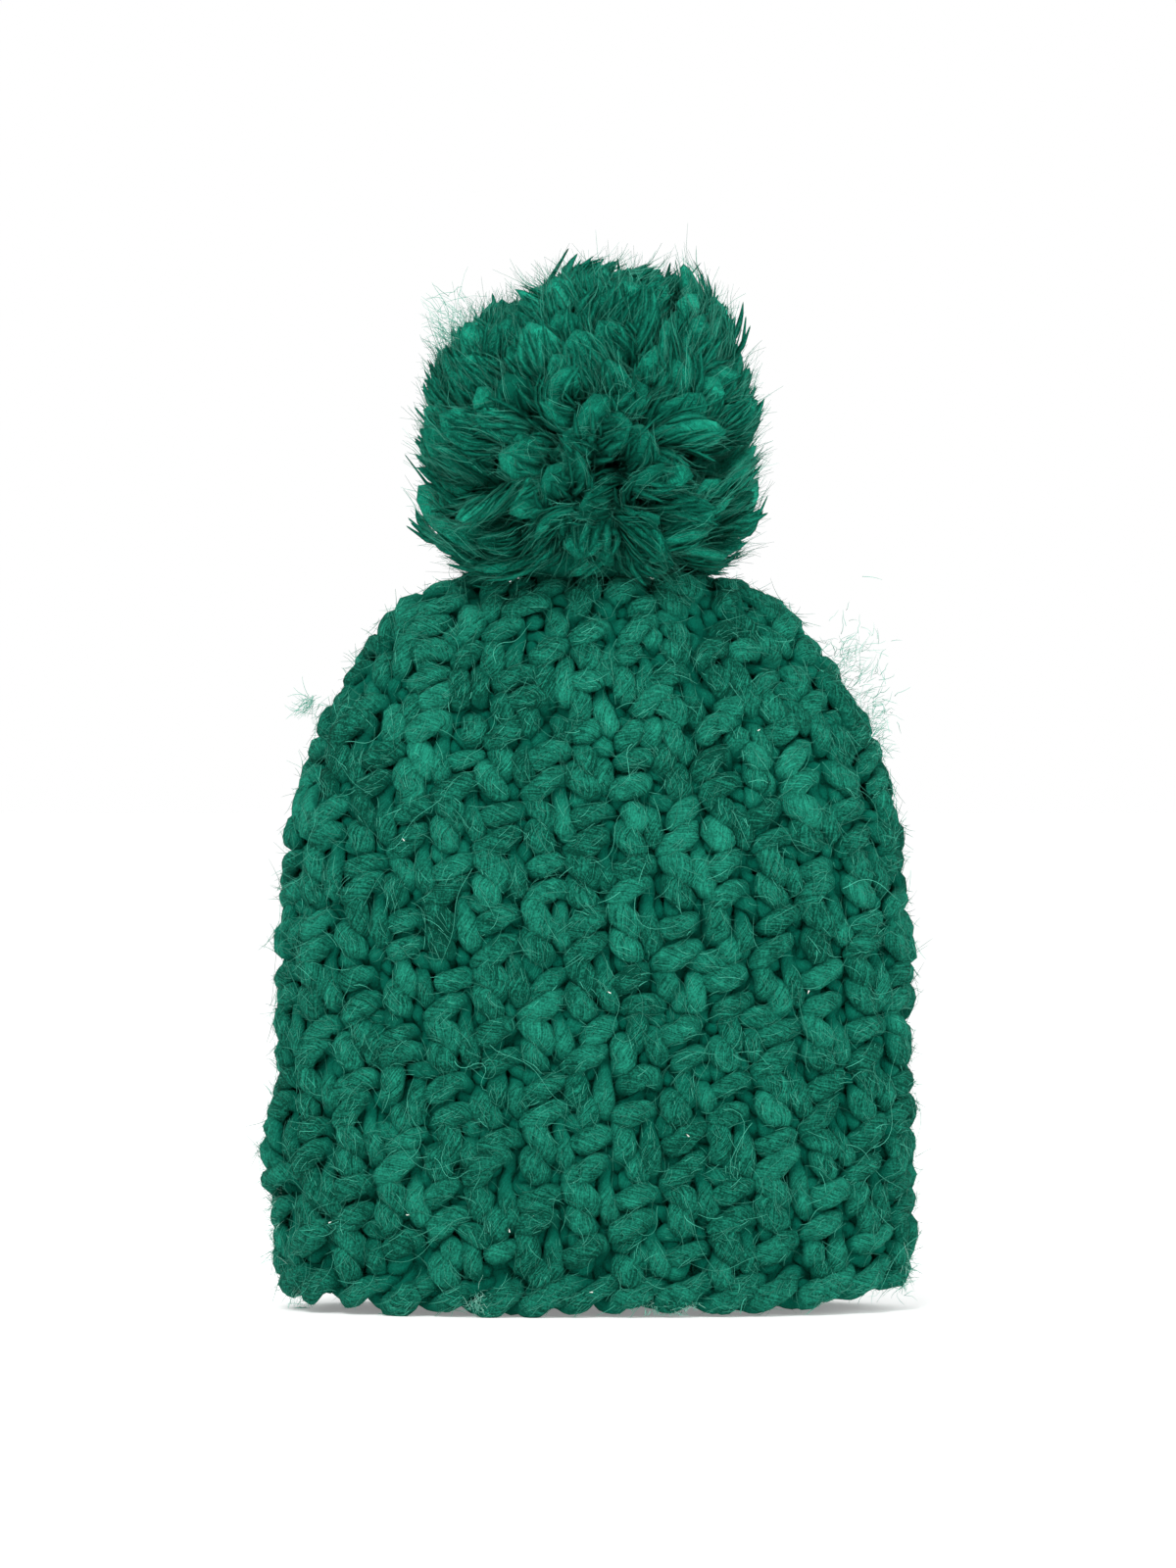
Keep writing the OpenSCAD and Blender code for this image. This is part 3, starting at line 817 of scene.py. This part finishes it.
pomPieces = makePom(pom)
for piece in pomPieces:
    piece.data.materials.append(pomWool)
    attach(piece, "pom")
    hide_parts("pom")
print("pom made:", [len(o.data.polygons) for o in pomPieces])

# the plain two-ply yarn of the seam, tails, gather, tie and wrap
ply = dict(sides=12, twist=0.9, lobe=0.10, lump=0.03)
acrossX, acrossY, acrossZ = (1.0, 0.0, 0.0), (0.0, 1.0, 0.0), (0.0, 0.0, 1.0)    # where a yarn's top points


# Yarn along each line, two plies that show as lobes turning with the length; ends close to a point.
def yarnPiece(name, lines, radii, body, closed=False, top=acrossX):
    sides, twist = ply["sides"], ply["twist"]
    a = np.linspace(0, 2 * np.pi, sides, endpoint=False)
    verts, faces, tris, uvs, triUvs, start = [], [], [], [], [], 0
    for line, r in zip(lines, radii):
        r = np.broadcast_to(np.asarray(r, float), (len(line),))
        if closed:
            tangent = unit(np.roll(line, -1, axis=0) - np.roll(line, 1, axis=0))
        else:
            tangent = unit(np.gradient(line, axis=0))
        up = np.broadcast_to(np.asarray(top, float), line.shape)
        up = unit(up - tangent * (up * tangent).sum(1, keepdims=True))
        side = np.cross(tangent, up)
        length = np.r_[0, np.cumsum(np.linalg.norm(np.diff(line, axis=0), axis=1))]
        turns = length[:, None] * twist / r[:, None]
        if closed:
            whole = np.r_[length, length[-1] + np.linalg.norm(line[0] - line[-1])]
            turns = np.round(whole[-1] * twist / r.mean() / np.pi) * np.pi * whole[:-1, None] / whole[-1]
            length = whole
        lobe = r[:, None] * (1 - ply["lobe"] + ply["lobe"] * np.abs(np.cos(a[None] + turns)) * 1.6)
        lobe = (lobe * (1 + ply["lump"] * np.sin(a[None] * 3 + length[:len(line), None] * 0.7)))[..., None]
        ring = (line[:, None] + side[:, None] * (np.cos(a)[None, :, None] * lobe)
                + up[:, None] * (np.sin(a)[None, :, None] * lobe))
        verts.append(ring.reshape(-1, 3))
        faces.append(gridFaces(len(line), sides, start, closed=closed))
        uvs.append(quadUv(len(line), sides, length, closed=closed))
        if not closed:
            verts.append(np.stack([line[0] - tangent[0] * r[0] * 0.6, line[-1] + tangent[-1] * r[-1] * 0.6]))
            tris.append(start + endFans(len(line), sides))
            ends = np.zeros((2 * sides * 3, 2))
            ends[:, 0] = np.repeat([0, length[-1]], sides * 3)
            triUvs.append(ends)
            start += len(line) * sides + 2
    count = sum(len(v) for v in verts)
    tips = np.concatenate(tris) if tris else None
    made = makeObject(name, np.concatenate(verts), np.concatenate(faces), tips, np.concatenate(uvs + triUvs),
                      {"out": np.full(count, 9.0), "tone": np.zeros(count)})
    made.data.materials.append(plainWool)
    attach(made, body)
    return made


plainWool = woolMaterial("plainWool", **green, shallow=2.0, full=5.8, along=0.16, across=5.0)


# A Catmull-Rom curve through the points: each span is the cubic whose slopes are half its neighbours' gap.
def smoothLine(points, count):
    p = np.asarray(points, float)
    p = np.concatenate([2 * p[:1] - p[1:2], p, 2 * p[-1:] - p[-2:-1]])
    x = np.linspace(0, len(points) - 1, count)
    i = np.minimum(x.astype(int), len(points) - 2)
    t = (x - i)[:, None]
    a, b, c, d = p[i], p[i + 1], p[i + 2], p[i + 3]
    bend, twist = 2 * a - 5 * b + 4 * c - d, 3 * b - a - 3 * c + d
    return 0.5 * (2 * b + (c - a) * t + bend * t ** 2 + twist * t ** 3)


# A cut end thins toward its tip, unevenly.
def taper(count, radius):
    thinning = 1 - 0.45 * np.linspace(0, 1, count) ** 6
    return radius * thinning * (1 + 0.08 * smoothNoise(np.arange(count) * 0.3, 77))


seamStitch = dict(radius=2.5, firstRise=9, stopShort=58, pitch=11.0, swing=0.006, inside=6.2, dip=1.6)


# Overcast stitches up the inside of the left edge: a helix flattened against the fabric.
def seamLine(seam):
    rise = np.arange(seam["firstRise"], fabricLength - seam["stopShort"], 0.8)
    a = rise / seam["pitch"] * 2 * np.pi
    p, out = onFabric(seam["swing"] * np.cos(a), rise)
    return p + out * (-seam["inside"] - seam["dip"] * np.sin(a))[:, None]


seam = yarnPiece("seam_yarn", [seamLine(seamStitch)], [seamStitch["radius"]], "hat", top=(0.0, 0.3, 1.0))
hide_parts("side_seam")

# the two woven-in ends: one from the gathered crown down its right side, one along the back of the brim
tail = dict(radius=2.3, dip=1.6, wave=0.42, behind=1.2)
crownEnd = dict(points=60, turn=0.5, fromX=27.0, length=52, inset=7.4)
brimEnd = dict(points=70, turns=(0.90, 0.755), rise=20, sway=1.5, inset=7.8)


# An end woven in along the inside: it dips into the fabric and out again at every stitch.
def wovenTail(turn, rise, inset):
    p, out = onFabric(turn, rise)
    run = np.r_[0, np.cumsum(np.linalg.norm(np.diff(p, axis=0), axis=1))]
    return p - out * (inset - tail["dip"] * np.sin(run * tail["wave"]) + tail["behind"])[:, None]


# Distance up the fabric at which its middle surface comes in to x, in the dome.
def riseWhere(turn, x):
    rises = np.linspace(100, fabricLength - 1, 600)
    across = np.abs(onFabric(np.full(600, turn), rises)[0][:, 0])
    return np.interp(-x, -across, rises)


count, start = crownEnd["points"], riseWhere(crownEnd["turn"], crownEnd["fromX"])
rise = np.linspace(start, start - crownEnd["length"], count)
line = wovenTail(np.full(count, crownEnd["turn"]), rise, crownEnd["inset"])
gatherTail = yarnPiece("gather_tail_yarn", [line], [taper(count, tail["radius"])], "hat", top=acrossY)
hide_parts("gather_tail")
count = brimEnd["points"]
rise = brimEnd["rise"] + brimEnd["sway"] * np.sin(np.linspace(0, 9, count))
line = wovenTail(np.linspace(*brimEnd["turns"], count), rise, brimEnd["inset"])
brimTail = yarnPiece("cast_on_tail_yarn", [line], [taper(count, tail["radius"])], "hat", top=acrossZ)
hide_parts("cast_on_tail")

# the drawn-up ring that the last row's loops hang on
ring = dict(points=96, half=(15.6, 9.2), height=241.0, wave=1.1, waves=6, radius=3.2)
a = np.linspace(0, 2 * np.pi, ring["points"], endpoint=False)
gatherLine = np.stack([ring["half"][0] * np.cos(a), ring["half"][1] * np.sin(a),
                       ring["height"] + ring["wave"] * np.sin(a * ring["waves"])], axis=1)
gather = yarnPiece("gather_yarn", [gatherLine], [ring["radius"]], "hat", closed=True, top=acrossZ)
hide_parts("crown_gather")

# the knot: a trefoil, (sin t + 2 sin 2t, cos t - 2 cos 2t, -sin 3t), with its two ends hanging below
knot = dict(points=120, size=2.7, lift=1.9, height=229.0, radius=2.3, endPoints=30)
t = np.linspace(0, 2 * np.pi, knot["points"], endpoint=False)
trefoil = np.stack([knot["size"] * (np.sin(t) + 2 * np.sin(2 * t)),
                    knot["size"] * (np.cos(t) - 2 * np.cos(2 * t)),
                    knot["height"] - knot["lift"] * np.sin(3 * t)], axis=1)
knotLoop = yarnPiece("tie_knot_yarn", [trefoil], [knot["radius"]], "knot", closed=True, top=acrossZ)
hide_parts("tie_knot")
hanging = [[[0, 7.6 * k, 229], [1.5 * k, 8.6 * k, 223], [-0.5, 9.8 * k, 215], [1.2, 10.6 * k, 207]]
           for k in (-1, 1)]  # the two ends, to the front and the back
knotLines = [smoothLine(points, knot["endPoints"]) for points in hanging]
knotEnds = yarnPiece("tie_knot_ends", knotLines, [taper(knot["endPoints"], knot["radius"])] * 2, "knot")
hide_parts("tie_knot")

tie = dict(span=(227.5, 252.5), gap=1.25, turnLength=9.0, radius=1.45)       # from the knot up to the pom
inPom = dict(span=(255.8, 275.0), gap=1.3, turnLength=9.0, radius=1.5)       # and on into the pom
waist = dict(turns=3, coil=10, halfLength=5.4, height=283, radius=2.4, points=130)


# Two strands wound round one another between two heights.
def twoPly(tie):
    low, high = tie["span"]
    z = np.linspace(low, high, int((high - low) * 1.6))
    w = z / tie["turnLength"] * 2 * np.pi
    return [np.stack([tie["gap"] * np.cos(w + k * np.pi), tie["gap"] * np.sin(w + k * np.pi), z], axis=1)
            for k in (0, 1)]


cord = yarnPiece("tie_cord_yarn", twoPly(tie), [tie["radius"]] * 2, "cord")
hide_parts("tie_cord")
w = np.linspace(0, waist["turns"] * 2 * np.pi, waist["points"])
along = np.linspace(-waist["halfLength"], waist["halfLength"], waist["points"])
wrapLine = np.stack([waist["coil"] * np.cos(w), along, waist["height"] + waist["coil"] * np.sin(w)], axis=1)
wrap = yarnPiece("pom_wrap_yarn", [wrapLine], [waist["radius"]], "pom", top=acrossY)
stem = yarnPiece("pom_stem_yarn", twoPly(inPom), [inPom["radius"]] * 2, "pom")
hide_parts("pom_wrap")
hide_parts("pom_wrap")
print("plain yarn made")

# loose fibres
fuzz = dict(
    outer=16000,              # short fibres on the outside of the fabric
    inner=2500,               # and inside
    length=(3.0, 8.0),
    radius=0.095,
    strays=160,               # long ones that wander over the stitches
    strayLength=(18, 46),
    strayRadius=0.085,
    pomFibres=16000,
    pomRadius=0.08,
)


# Two directions square to each step of every fibre, from a random reference.
def fibreFrames(p, r):
    tangent = unit(np.gradient(p, axis=1))
    up = unit(np.cross(tangent, np.broadcast_to(unit(r.normal(0, 1, (len(p), 1, 3))), p.shape)))
    return np.cross(tangent, up), up


# Thin three-sided strands that taper to a point.
def fibreMesh(name, p, radius, tone, r):
    side, up = fibreFrames(p, r)
    steps = p.shape[1]
    w = radius[:, None] * (1 - 0.55 * np.linspace(0, 1, steps) ** 2)[None]
    return strandMesh(name, p, side, up, w, w, 3, p[:, -1] + unit(p[:, -1] - p[:, -2]) * 0.4,
                      np.full(p.shape[:2], 7.0), tone)


# Short fibres that leave the yarn's surface along it and lift outwards as they go, as a parabola with a
# curl.
def knitFibres(fuzz):
    r = np.random.default_rng(51)
    chosen = []
    for sign, count in ((1, fuzz["outer"]), (-1, fuzz["inner"])):
        able = np.nonzero(outward * sign > 1.8)[0]
        chosen.append((able[r.integers(0, len(able), count)], np.full(count, sign)))
    j = np.concatenate([c[0] for c in chosen])
    sign = np.concatenate([c[1] for c in chosen])[:, None]
    ring = np.repeat(np.arange(len(rowSizes)), rowSizes)
    after = rowStart[ring] + (np.arange(len(path)) - rowStart[ring] + 1) % rowSizes[ring]
    along = unit(path[after] - path)[j] * r.choice([-1, 1], (len(j), 1))
    out = normal[j] * sign
    side = unit(np.cross(along, out))
    a = r.uniform(-1.25, 1.25, (len(j), 1))
    start = path[j] + (side * np.sin(a) + out * np.cos(a) * 0.84) * radius[j, None] * 0.97
    leave = side * np.sin(a) + out * np.cos(a)
    length = r.uniform(*fuzz["length"], (len(j), 1)) * r.choice([1.0, 0.6], (len(j), 1))
    t = np.linspace(0, 1, 4)[None, :, None]
    curl = side * r.normal(0, 0.5, (len(j), 1)) + out * r.normal(0.0, 0.12, (len(j), 1))
    lift = r.uniform(0.05, 0.42, (len(j), 1)) ** 1.2
    p = (start[:, None] + along[:, None] * (length[:, None] * t)
         + leave[:, None] * (length[:, None] * lift[:, None] * t ** 2)
         + curl[:, None] * (length[:, None] * t ** 2 * 0.7))
    p[..., 2] = np.maximum(p[..., 2], 0.5)
    width, tone = fuzz["radius"] * r.uniform(0.7, 1.3, len(j)), r.normal(0, 1, len(j))
    return [fibreMesh("knit_fuzz_%d" % (k + 1), p[k::3], width[k::3], tone[k::3], r) for k in range(3)]


# Long wavy fibres that lie over the stitches: a heading that drifts as a sum of sines, followed in fabric
# coordinates.
def strayFibres(fuzz):
    r = np.random.default_rng(52)
    n, steps = fuzz["strays"], 15
    t = np.linspace(0, 1, steps)[None]
    length = r.uniform(*fuzz["strayLength"], (n, 1))
    heading = r.uniform(0, 6.283, (n, 1))
    heading = heading + sum(r.normal(0, 1.1 / k, (n, 1)) * np.sin(t * 3.0 * k + r.uniform(0, 6.283, (n, 1)))
                            for k in (1, 2, 3))
    dx, dz = np.cos(heading) * length / steps, np.sin(heading) * length / steps
    turn = r.uniform(0, 1, (n, 1)) + np.cumsum(dx, axis=1) / 480
    rise = np.clip(r.uniform(12, 215, (n, 1)) + np.cumsum(dz, axis=1), 8, fabricLength - 40)
    lift = 6.9 + 0.9 * np.sin(t * r.uniform(4, 9, (n, 1)) + r.uniform(0, 6, (n, 1)))
    lift = lift + r.uniform(0, 1.2, (n, 1))
    p, out = onFabric(turn, rise)
    p = p + out * lift[..., None]
    p[..., 2] = np.maximum(p[..., 2], 1.0)
    return fibreMesh("stray_fibres", p, fuzz["strayRadius"] * r.uniform(0.8, 1.4, n), r.normal(0.5, 1, n), r)


# Single fibres that stand a little proud of the tufts, mostly near their tips.
def pomFibres(fuzz):
    r = np.random.default_rng(53)
    k = r.integers(0, len(spines), fuzz["pomFibres"])
    first = r.uniform(0.55, 0.95, len(k))
    final = first + r.uniform(0.10, 0.22, len(k))
    s = np.linspace(0, 1, 4)[None] * (final - first)[:, None] + first[:, None]
    x = np.clip(s, 0, 0.999) * (spines.shape[1] - 1)
    i = x.astype(int)
    f = (x - i)[..., None]
    at = (k[:, None], i)
    base = spines[at] * (1 - f) + spines[k[:, None], i + 1] * f
    side, up, tangent = tuftSide[at], tuftUp[at], tuftTangent[at]
    reach = np.linalg.norm(spines[k, -1] - spines[k, 0], axis=1)[:, None, None]
    a = r.uniform(0, 6.283, (len(k), 1, 1))
    w = pom["halfWidth"] * widthAt(np.clip(s, 0, 1))[..., None]
    h = pom["thickness"] * widthAt(np.clip(s, 0, 1))[..., None]
    curl = r.normal(0, 1, (len(k), 1, 3)) * (np.linspace(0, 1, 4) ** 2)[None, :, None] * 2.2
    p = (base + side * np.cos(a) * w * 1.05 + up * np.sin(a) * h * 1.3
         + tangent * np.clip(s - 1, 0, 1)[..., None] * reach + curl)
    width, tone = fuzz["pomRadius"] * r.uniform(0.7, 1.3, len(k)), r.normal(-0.3, 1, len(k))
    return [fibreMesh("pom_fuzz_%d" % (n + 1), p[n::2], width[n::2], tone[n::2], r) for n in range(2)]


# Matt fibres whose colour runs from body to light with the tone attribute.
def fibreMaterial(name, light, body):
    material, tree, shader = newMaterial(name)
    ramp = addNode(tree, "ValToRGB", {"Fac": scaled(tree, pointValue(tree, "tone"), -2.0, 2.5)})
    for stop, colour, position in zip(ramp.color_ramp.elements, (body, light), (0.35, 0.95)):
        stop.color, stop.position = (*colour, 1), position
    feed(tree, shader, {"Base Color": ramp.outputs["Color"], "Roughness": 0.7})
    return material


fibreWool = fibreMaterial("fibreWool", light=(0.06, 0.50, 0.35), body=(0.005, 0.17, 0.11))
paleWool = fibreMaterial("paleWool", light=(0.36, 0.70, 0.58), body=(0.06, 0.36, 0.26))
lintWhite = fibreMaterial("lintWhite", light=(0.85, 0.86, 0.80), body=(0.7, 0.72, 0.66))
# pale wisps where yarn has worked loose: middle, spread, direction and length of each cluster, in mm
wisps = [
    dict(at=(-93, 0, 201), spread=(1.5, 2, 1.5), toward=(-0.8, 0, -0.6), length=9, count=45),
    dict(at=(84, 0, 211), spread=(6, 5, 9), toward=(0.7, -0.1, 0.7), length=6, count=200),
    dict(at=(92, 0, 192), spread=(3, 4, 7), toward=(0.9, -0.1, 0.4), length=5, count=140),
    dict(at=(-44, -4, 322), spread=(5, 12, 6), toward=(-0.7, -0.1, 0.7), length=9, count=220, body="pom"),
    dict(at=(-37, -42, 5), spread=(2, 1, 1.5), toward=(0.1, -0.4, -0.6), length=5, count=70),
    dict(at=(24, -42, 4), spread=(5, 1, 1.2), toward=(0, -0.4, -0.5), length=4, count=110),
    dict(at=(101, -8, 14), spread=(1.5, 3, 4), toward=(0.8, -0.3, -0.3), length=5, count=110),
    dict(at=(-96, -8, 12), spread=(2, 3, 6), toward=(-0.8, -0.2, -0.5), length=5, count=140),
    dict(at=(-104, -4, 30), spread=(1, 3, 8), toward=(-0.9, -0.2, 0.1), length=5, count=100),
]


# Loose fibres of each cluster: they start round its middle, head its way and curl as a random walk does.
def wispFibres(wisps, body):
    r = np.random.default_rng(54)
    lines = []
    for w in [w for w in wisps if w.get("body", "hat") == body]:
        n = w["count"]
        start = np.array(w["at"]) + r.normal(0, 1, (n, 3)) * w["spread"]
        heading = unit(np.array(w["toward"], float) + r.normal(0, 0.55, (n, 3)))
        step = w["length"] * r.uniform(0.5, 1.2, (n, 1, 1)) / 4
        turn = np.cumsum(r.normal(0, 0.28, (n, 4, 3)), axis=1)
        walk = np.cumsum(unit(heading[:, None] + turn) * step, axis=1)
        lines.append(np.concatenate([start[:, None], start[:, None] + walk], axis=1))
    p = np.concatenate(lines)
    p[..., 2] = np.maximum(p[..., 2], 0.8)
    return fibreMesh("wisps_" + body, p, 0.09 * r.uniform(0.7, 1.3, len(p)), r.normal(0.3, 1, len(p)), r)


# where specks of lint sit on the front, across and up
lintSpots = [(68, 106), (-59, 34), (-83, 31), (-19, 34), (-27, 29), (-1, 9), (5, 106), (30, 60), (-60, 150),
             (52, 182)]


# Specks of lint on the fabric's front: tiny spindles a little above the stitches.
def lintFlecks():
    r = np.random.default_rng(55)
    turns = np.linspace(0.02, 0.48, 400)
    lines = []
    for x, z in lintSpots:
        rise = np.full(400, float(z if z < 100 else 100 + (z - 100) * 1.12))
        p, out = onFabric(turns, rise)
        k = np.argmin(np.abs(p[:, 0] - x) + np.abs(p[:, 2] - z) * 0.01)
        centre, way = p[k] + out[k] * 7.4, unit(r.normal(0, 1, 3))
        way = unit(way - out[k] * (way @ out[k]))
        lines.append(centre + way * np.linspace(-0.45, 0.45, 4)[:, None])
    p = np.array(lines)
    return fibreMesh("lint", p, r.uniform(0.2, 0.32, len(p)), np.full(len(p), 2.0), r)


loose = [(piece, "hat", fibreWool) for piece in knitFibres(fuzz)]
loose += [(strayFibres(fuzz), "hat", fibreWool)]
loose += [(piece, "pom", fibreWool) for piece in pomFibres(fuzz)]
loose += [(wispFibres(wisps, "hat"), "hat", paleWool), (wispFibres(wisps, "pom"), "pom", paleWool)]
loose += [(lintFlecks(), "hat", lintWhite)]
for piece, body, wool in loose:
    piece.data.materials.append(wool)
    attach(piece, body)
print("fibres made:", [len(piece.data.polygons) for piece, _, _ in loose])

# camera, floor and light
view = dict(distance=2400.0, tall=520.0, centreX=-1.95, centreZ=173.9)     # tall: what the picture takes in
camera = bpy.data.objects.new("camera", bpy.data.cameras.new("camera"))
bpy.context.collection.objects.link(camera)
camera.location = (view["centreX"] * mm, -view["distance"] * mm, view["centreZ"] * mm)
camera.rotation_euler = (math.radians(90), 0, 0)
camera.data.sensor_fit = "VERTICAL"
camera.data.sensor_height = 36
camera.data.lens = 36 * view["distance"] / view["tall"]
camera.data.clip_end = 100
bpy.context.scene.camera = camera

paper, tree, shader = newMaterial("palePaper")
feed(tree, shader, {"Base Color": (0.93, 0.93, 0.93, 1), "Roughness": 0.9, "Emission Color": (1, 1, 1, 1),
                    "Emission Strength": 0.24})                # as white as the world far from the lights
under = addNode(tree, "NewGeometry").outputs["Backfacing"]     # clear from below, so the inside can be seen
clear = addNode(tree, "BsdfTransparent").outputs["BSDF"]
both = addNode(tree, "MixShader", {"Fac": under, 1: shader.outputs["BSDF"], 2: clear})
feed(tree, tree.nodes["Material Output"], {"Surface": both.outputs["Shader"]})
floorSize = dict(radius=40000.0, sides=64)                             # far past what the camera takes in
k = np.arange(floorSize["sides"])
around = k / len(k) * 2 * np.pi
rim = np.stack([np.cos(around), np.sin(around), 0 * around], axis=1) * floorSize["radius"]
floor = makeObject("floor", np.concatenate([rim, np.zeros((1, 3))]), np.zeros((0, 4), int),
                   np.stack([np.full(len(k), len(k)), k, (k + 1) % len(k)], axis=1))
floor.data.materials.append(paper)


def areaLight(name, at, aim, size, power):
    light = bpy.data.objects.new(name, bpy.data.lights.new(name, "AREA"))
    bpy.context.collection.objects.link(light)
    light.data.shape, light.data.size, light.data.energy = "DISK", size, power
    at, aim = np.array(at, float), np.array(aim, float)
    light.location = at
    light.rotation_euler = Vector(aim - at).to_track_quat("-Z", "Y").to_euler()


areaLight("key", (-0.6, -1.6, 2.0), (0, 0, 0.15), 1.2, 38)
areaLight("fill", (1.4, -1.5, 0.9), (0, 0, 0.15), 1.4, 16)
world = bpy.data.worlds.new("studio")
bpy.context.scene.world = world
world.use_nodes = True
tree = world.node_tree
seen = addNode(tree, "LightPath").outputs["Is Camera Ray"]             # white behind, softer as a light
strength = calc(tree, "MULTIPLY_ADD", seen, 0.15, 0.85)
feed(tree, tree.nodes["Background"], {"Color": (1, 1, 1, 1), "Strength": strength})
bpy.context.scene.view_settings.view_transform = "Standard"
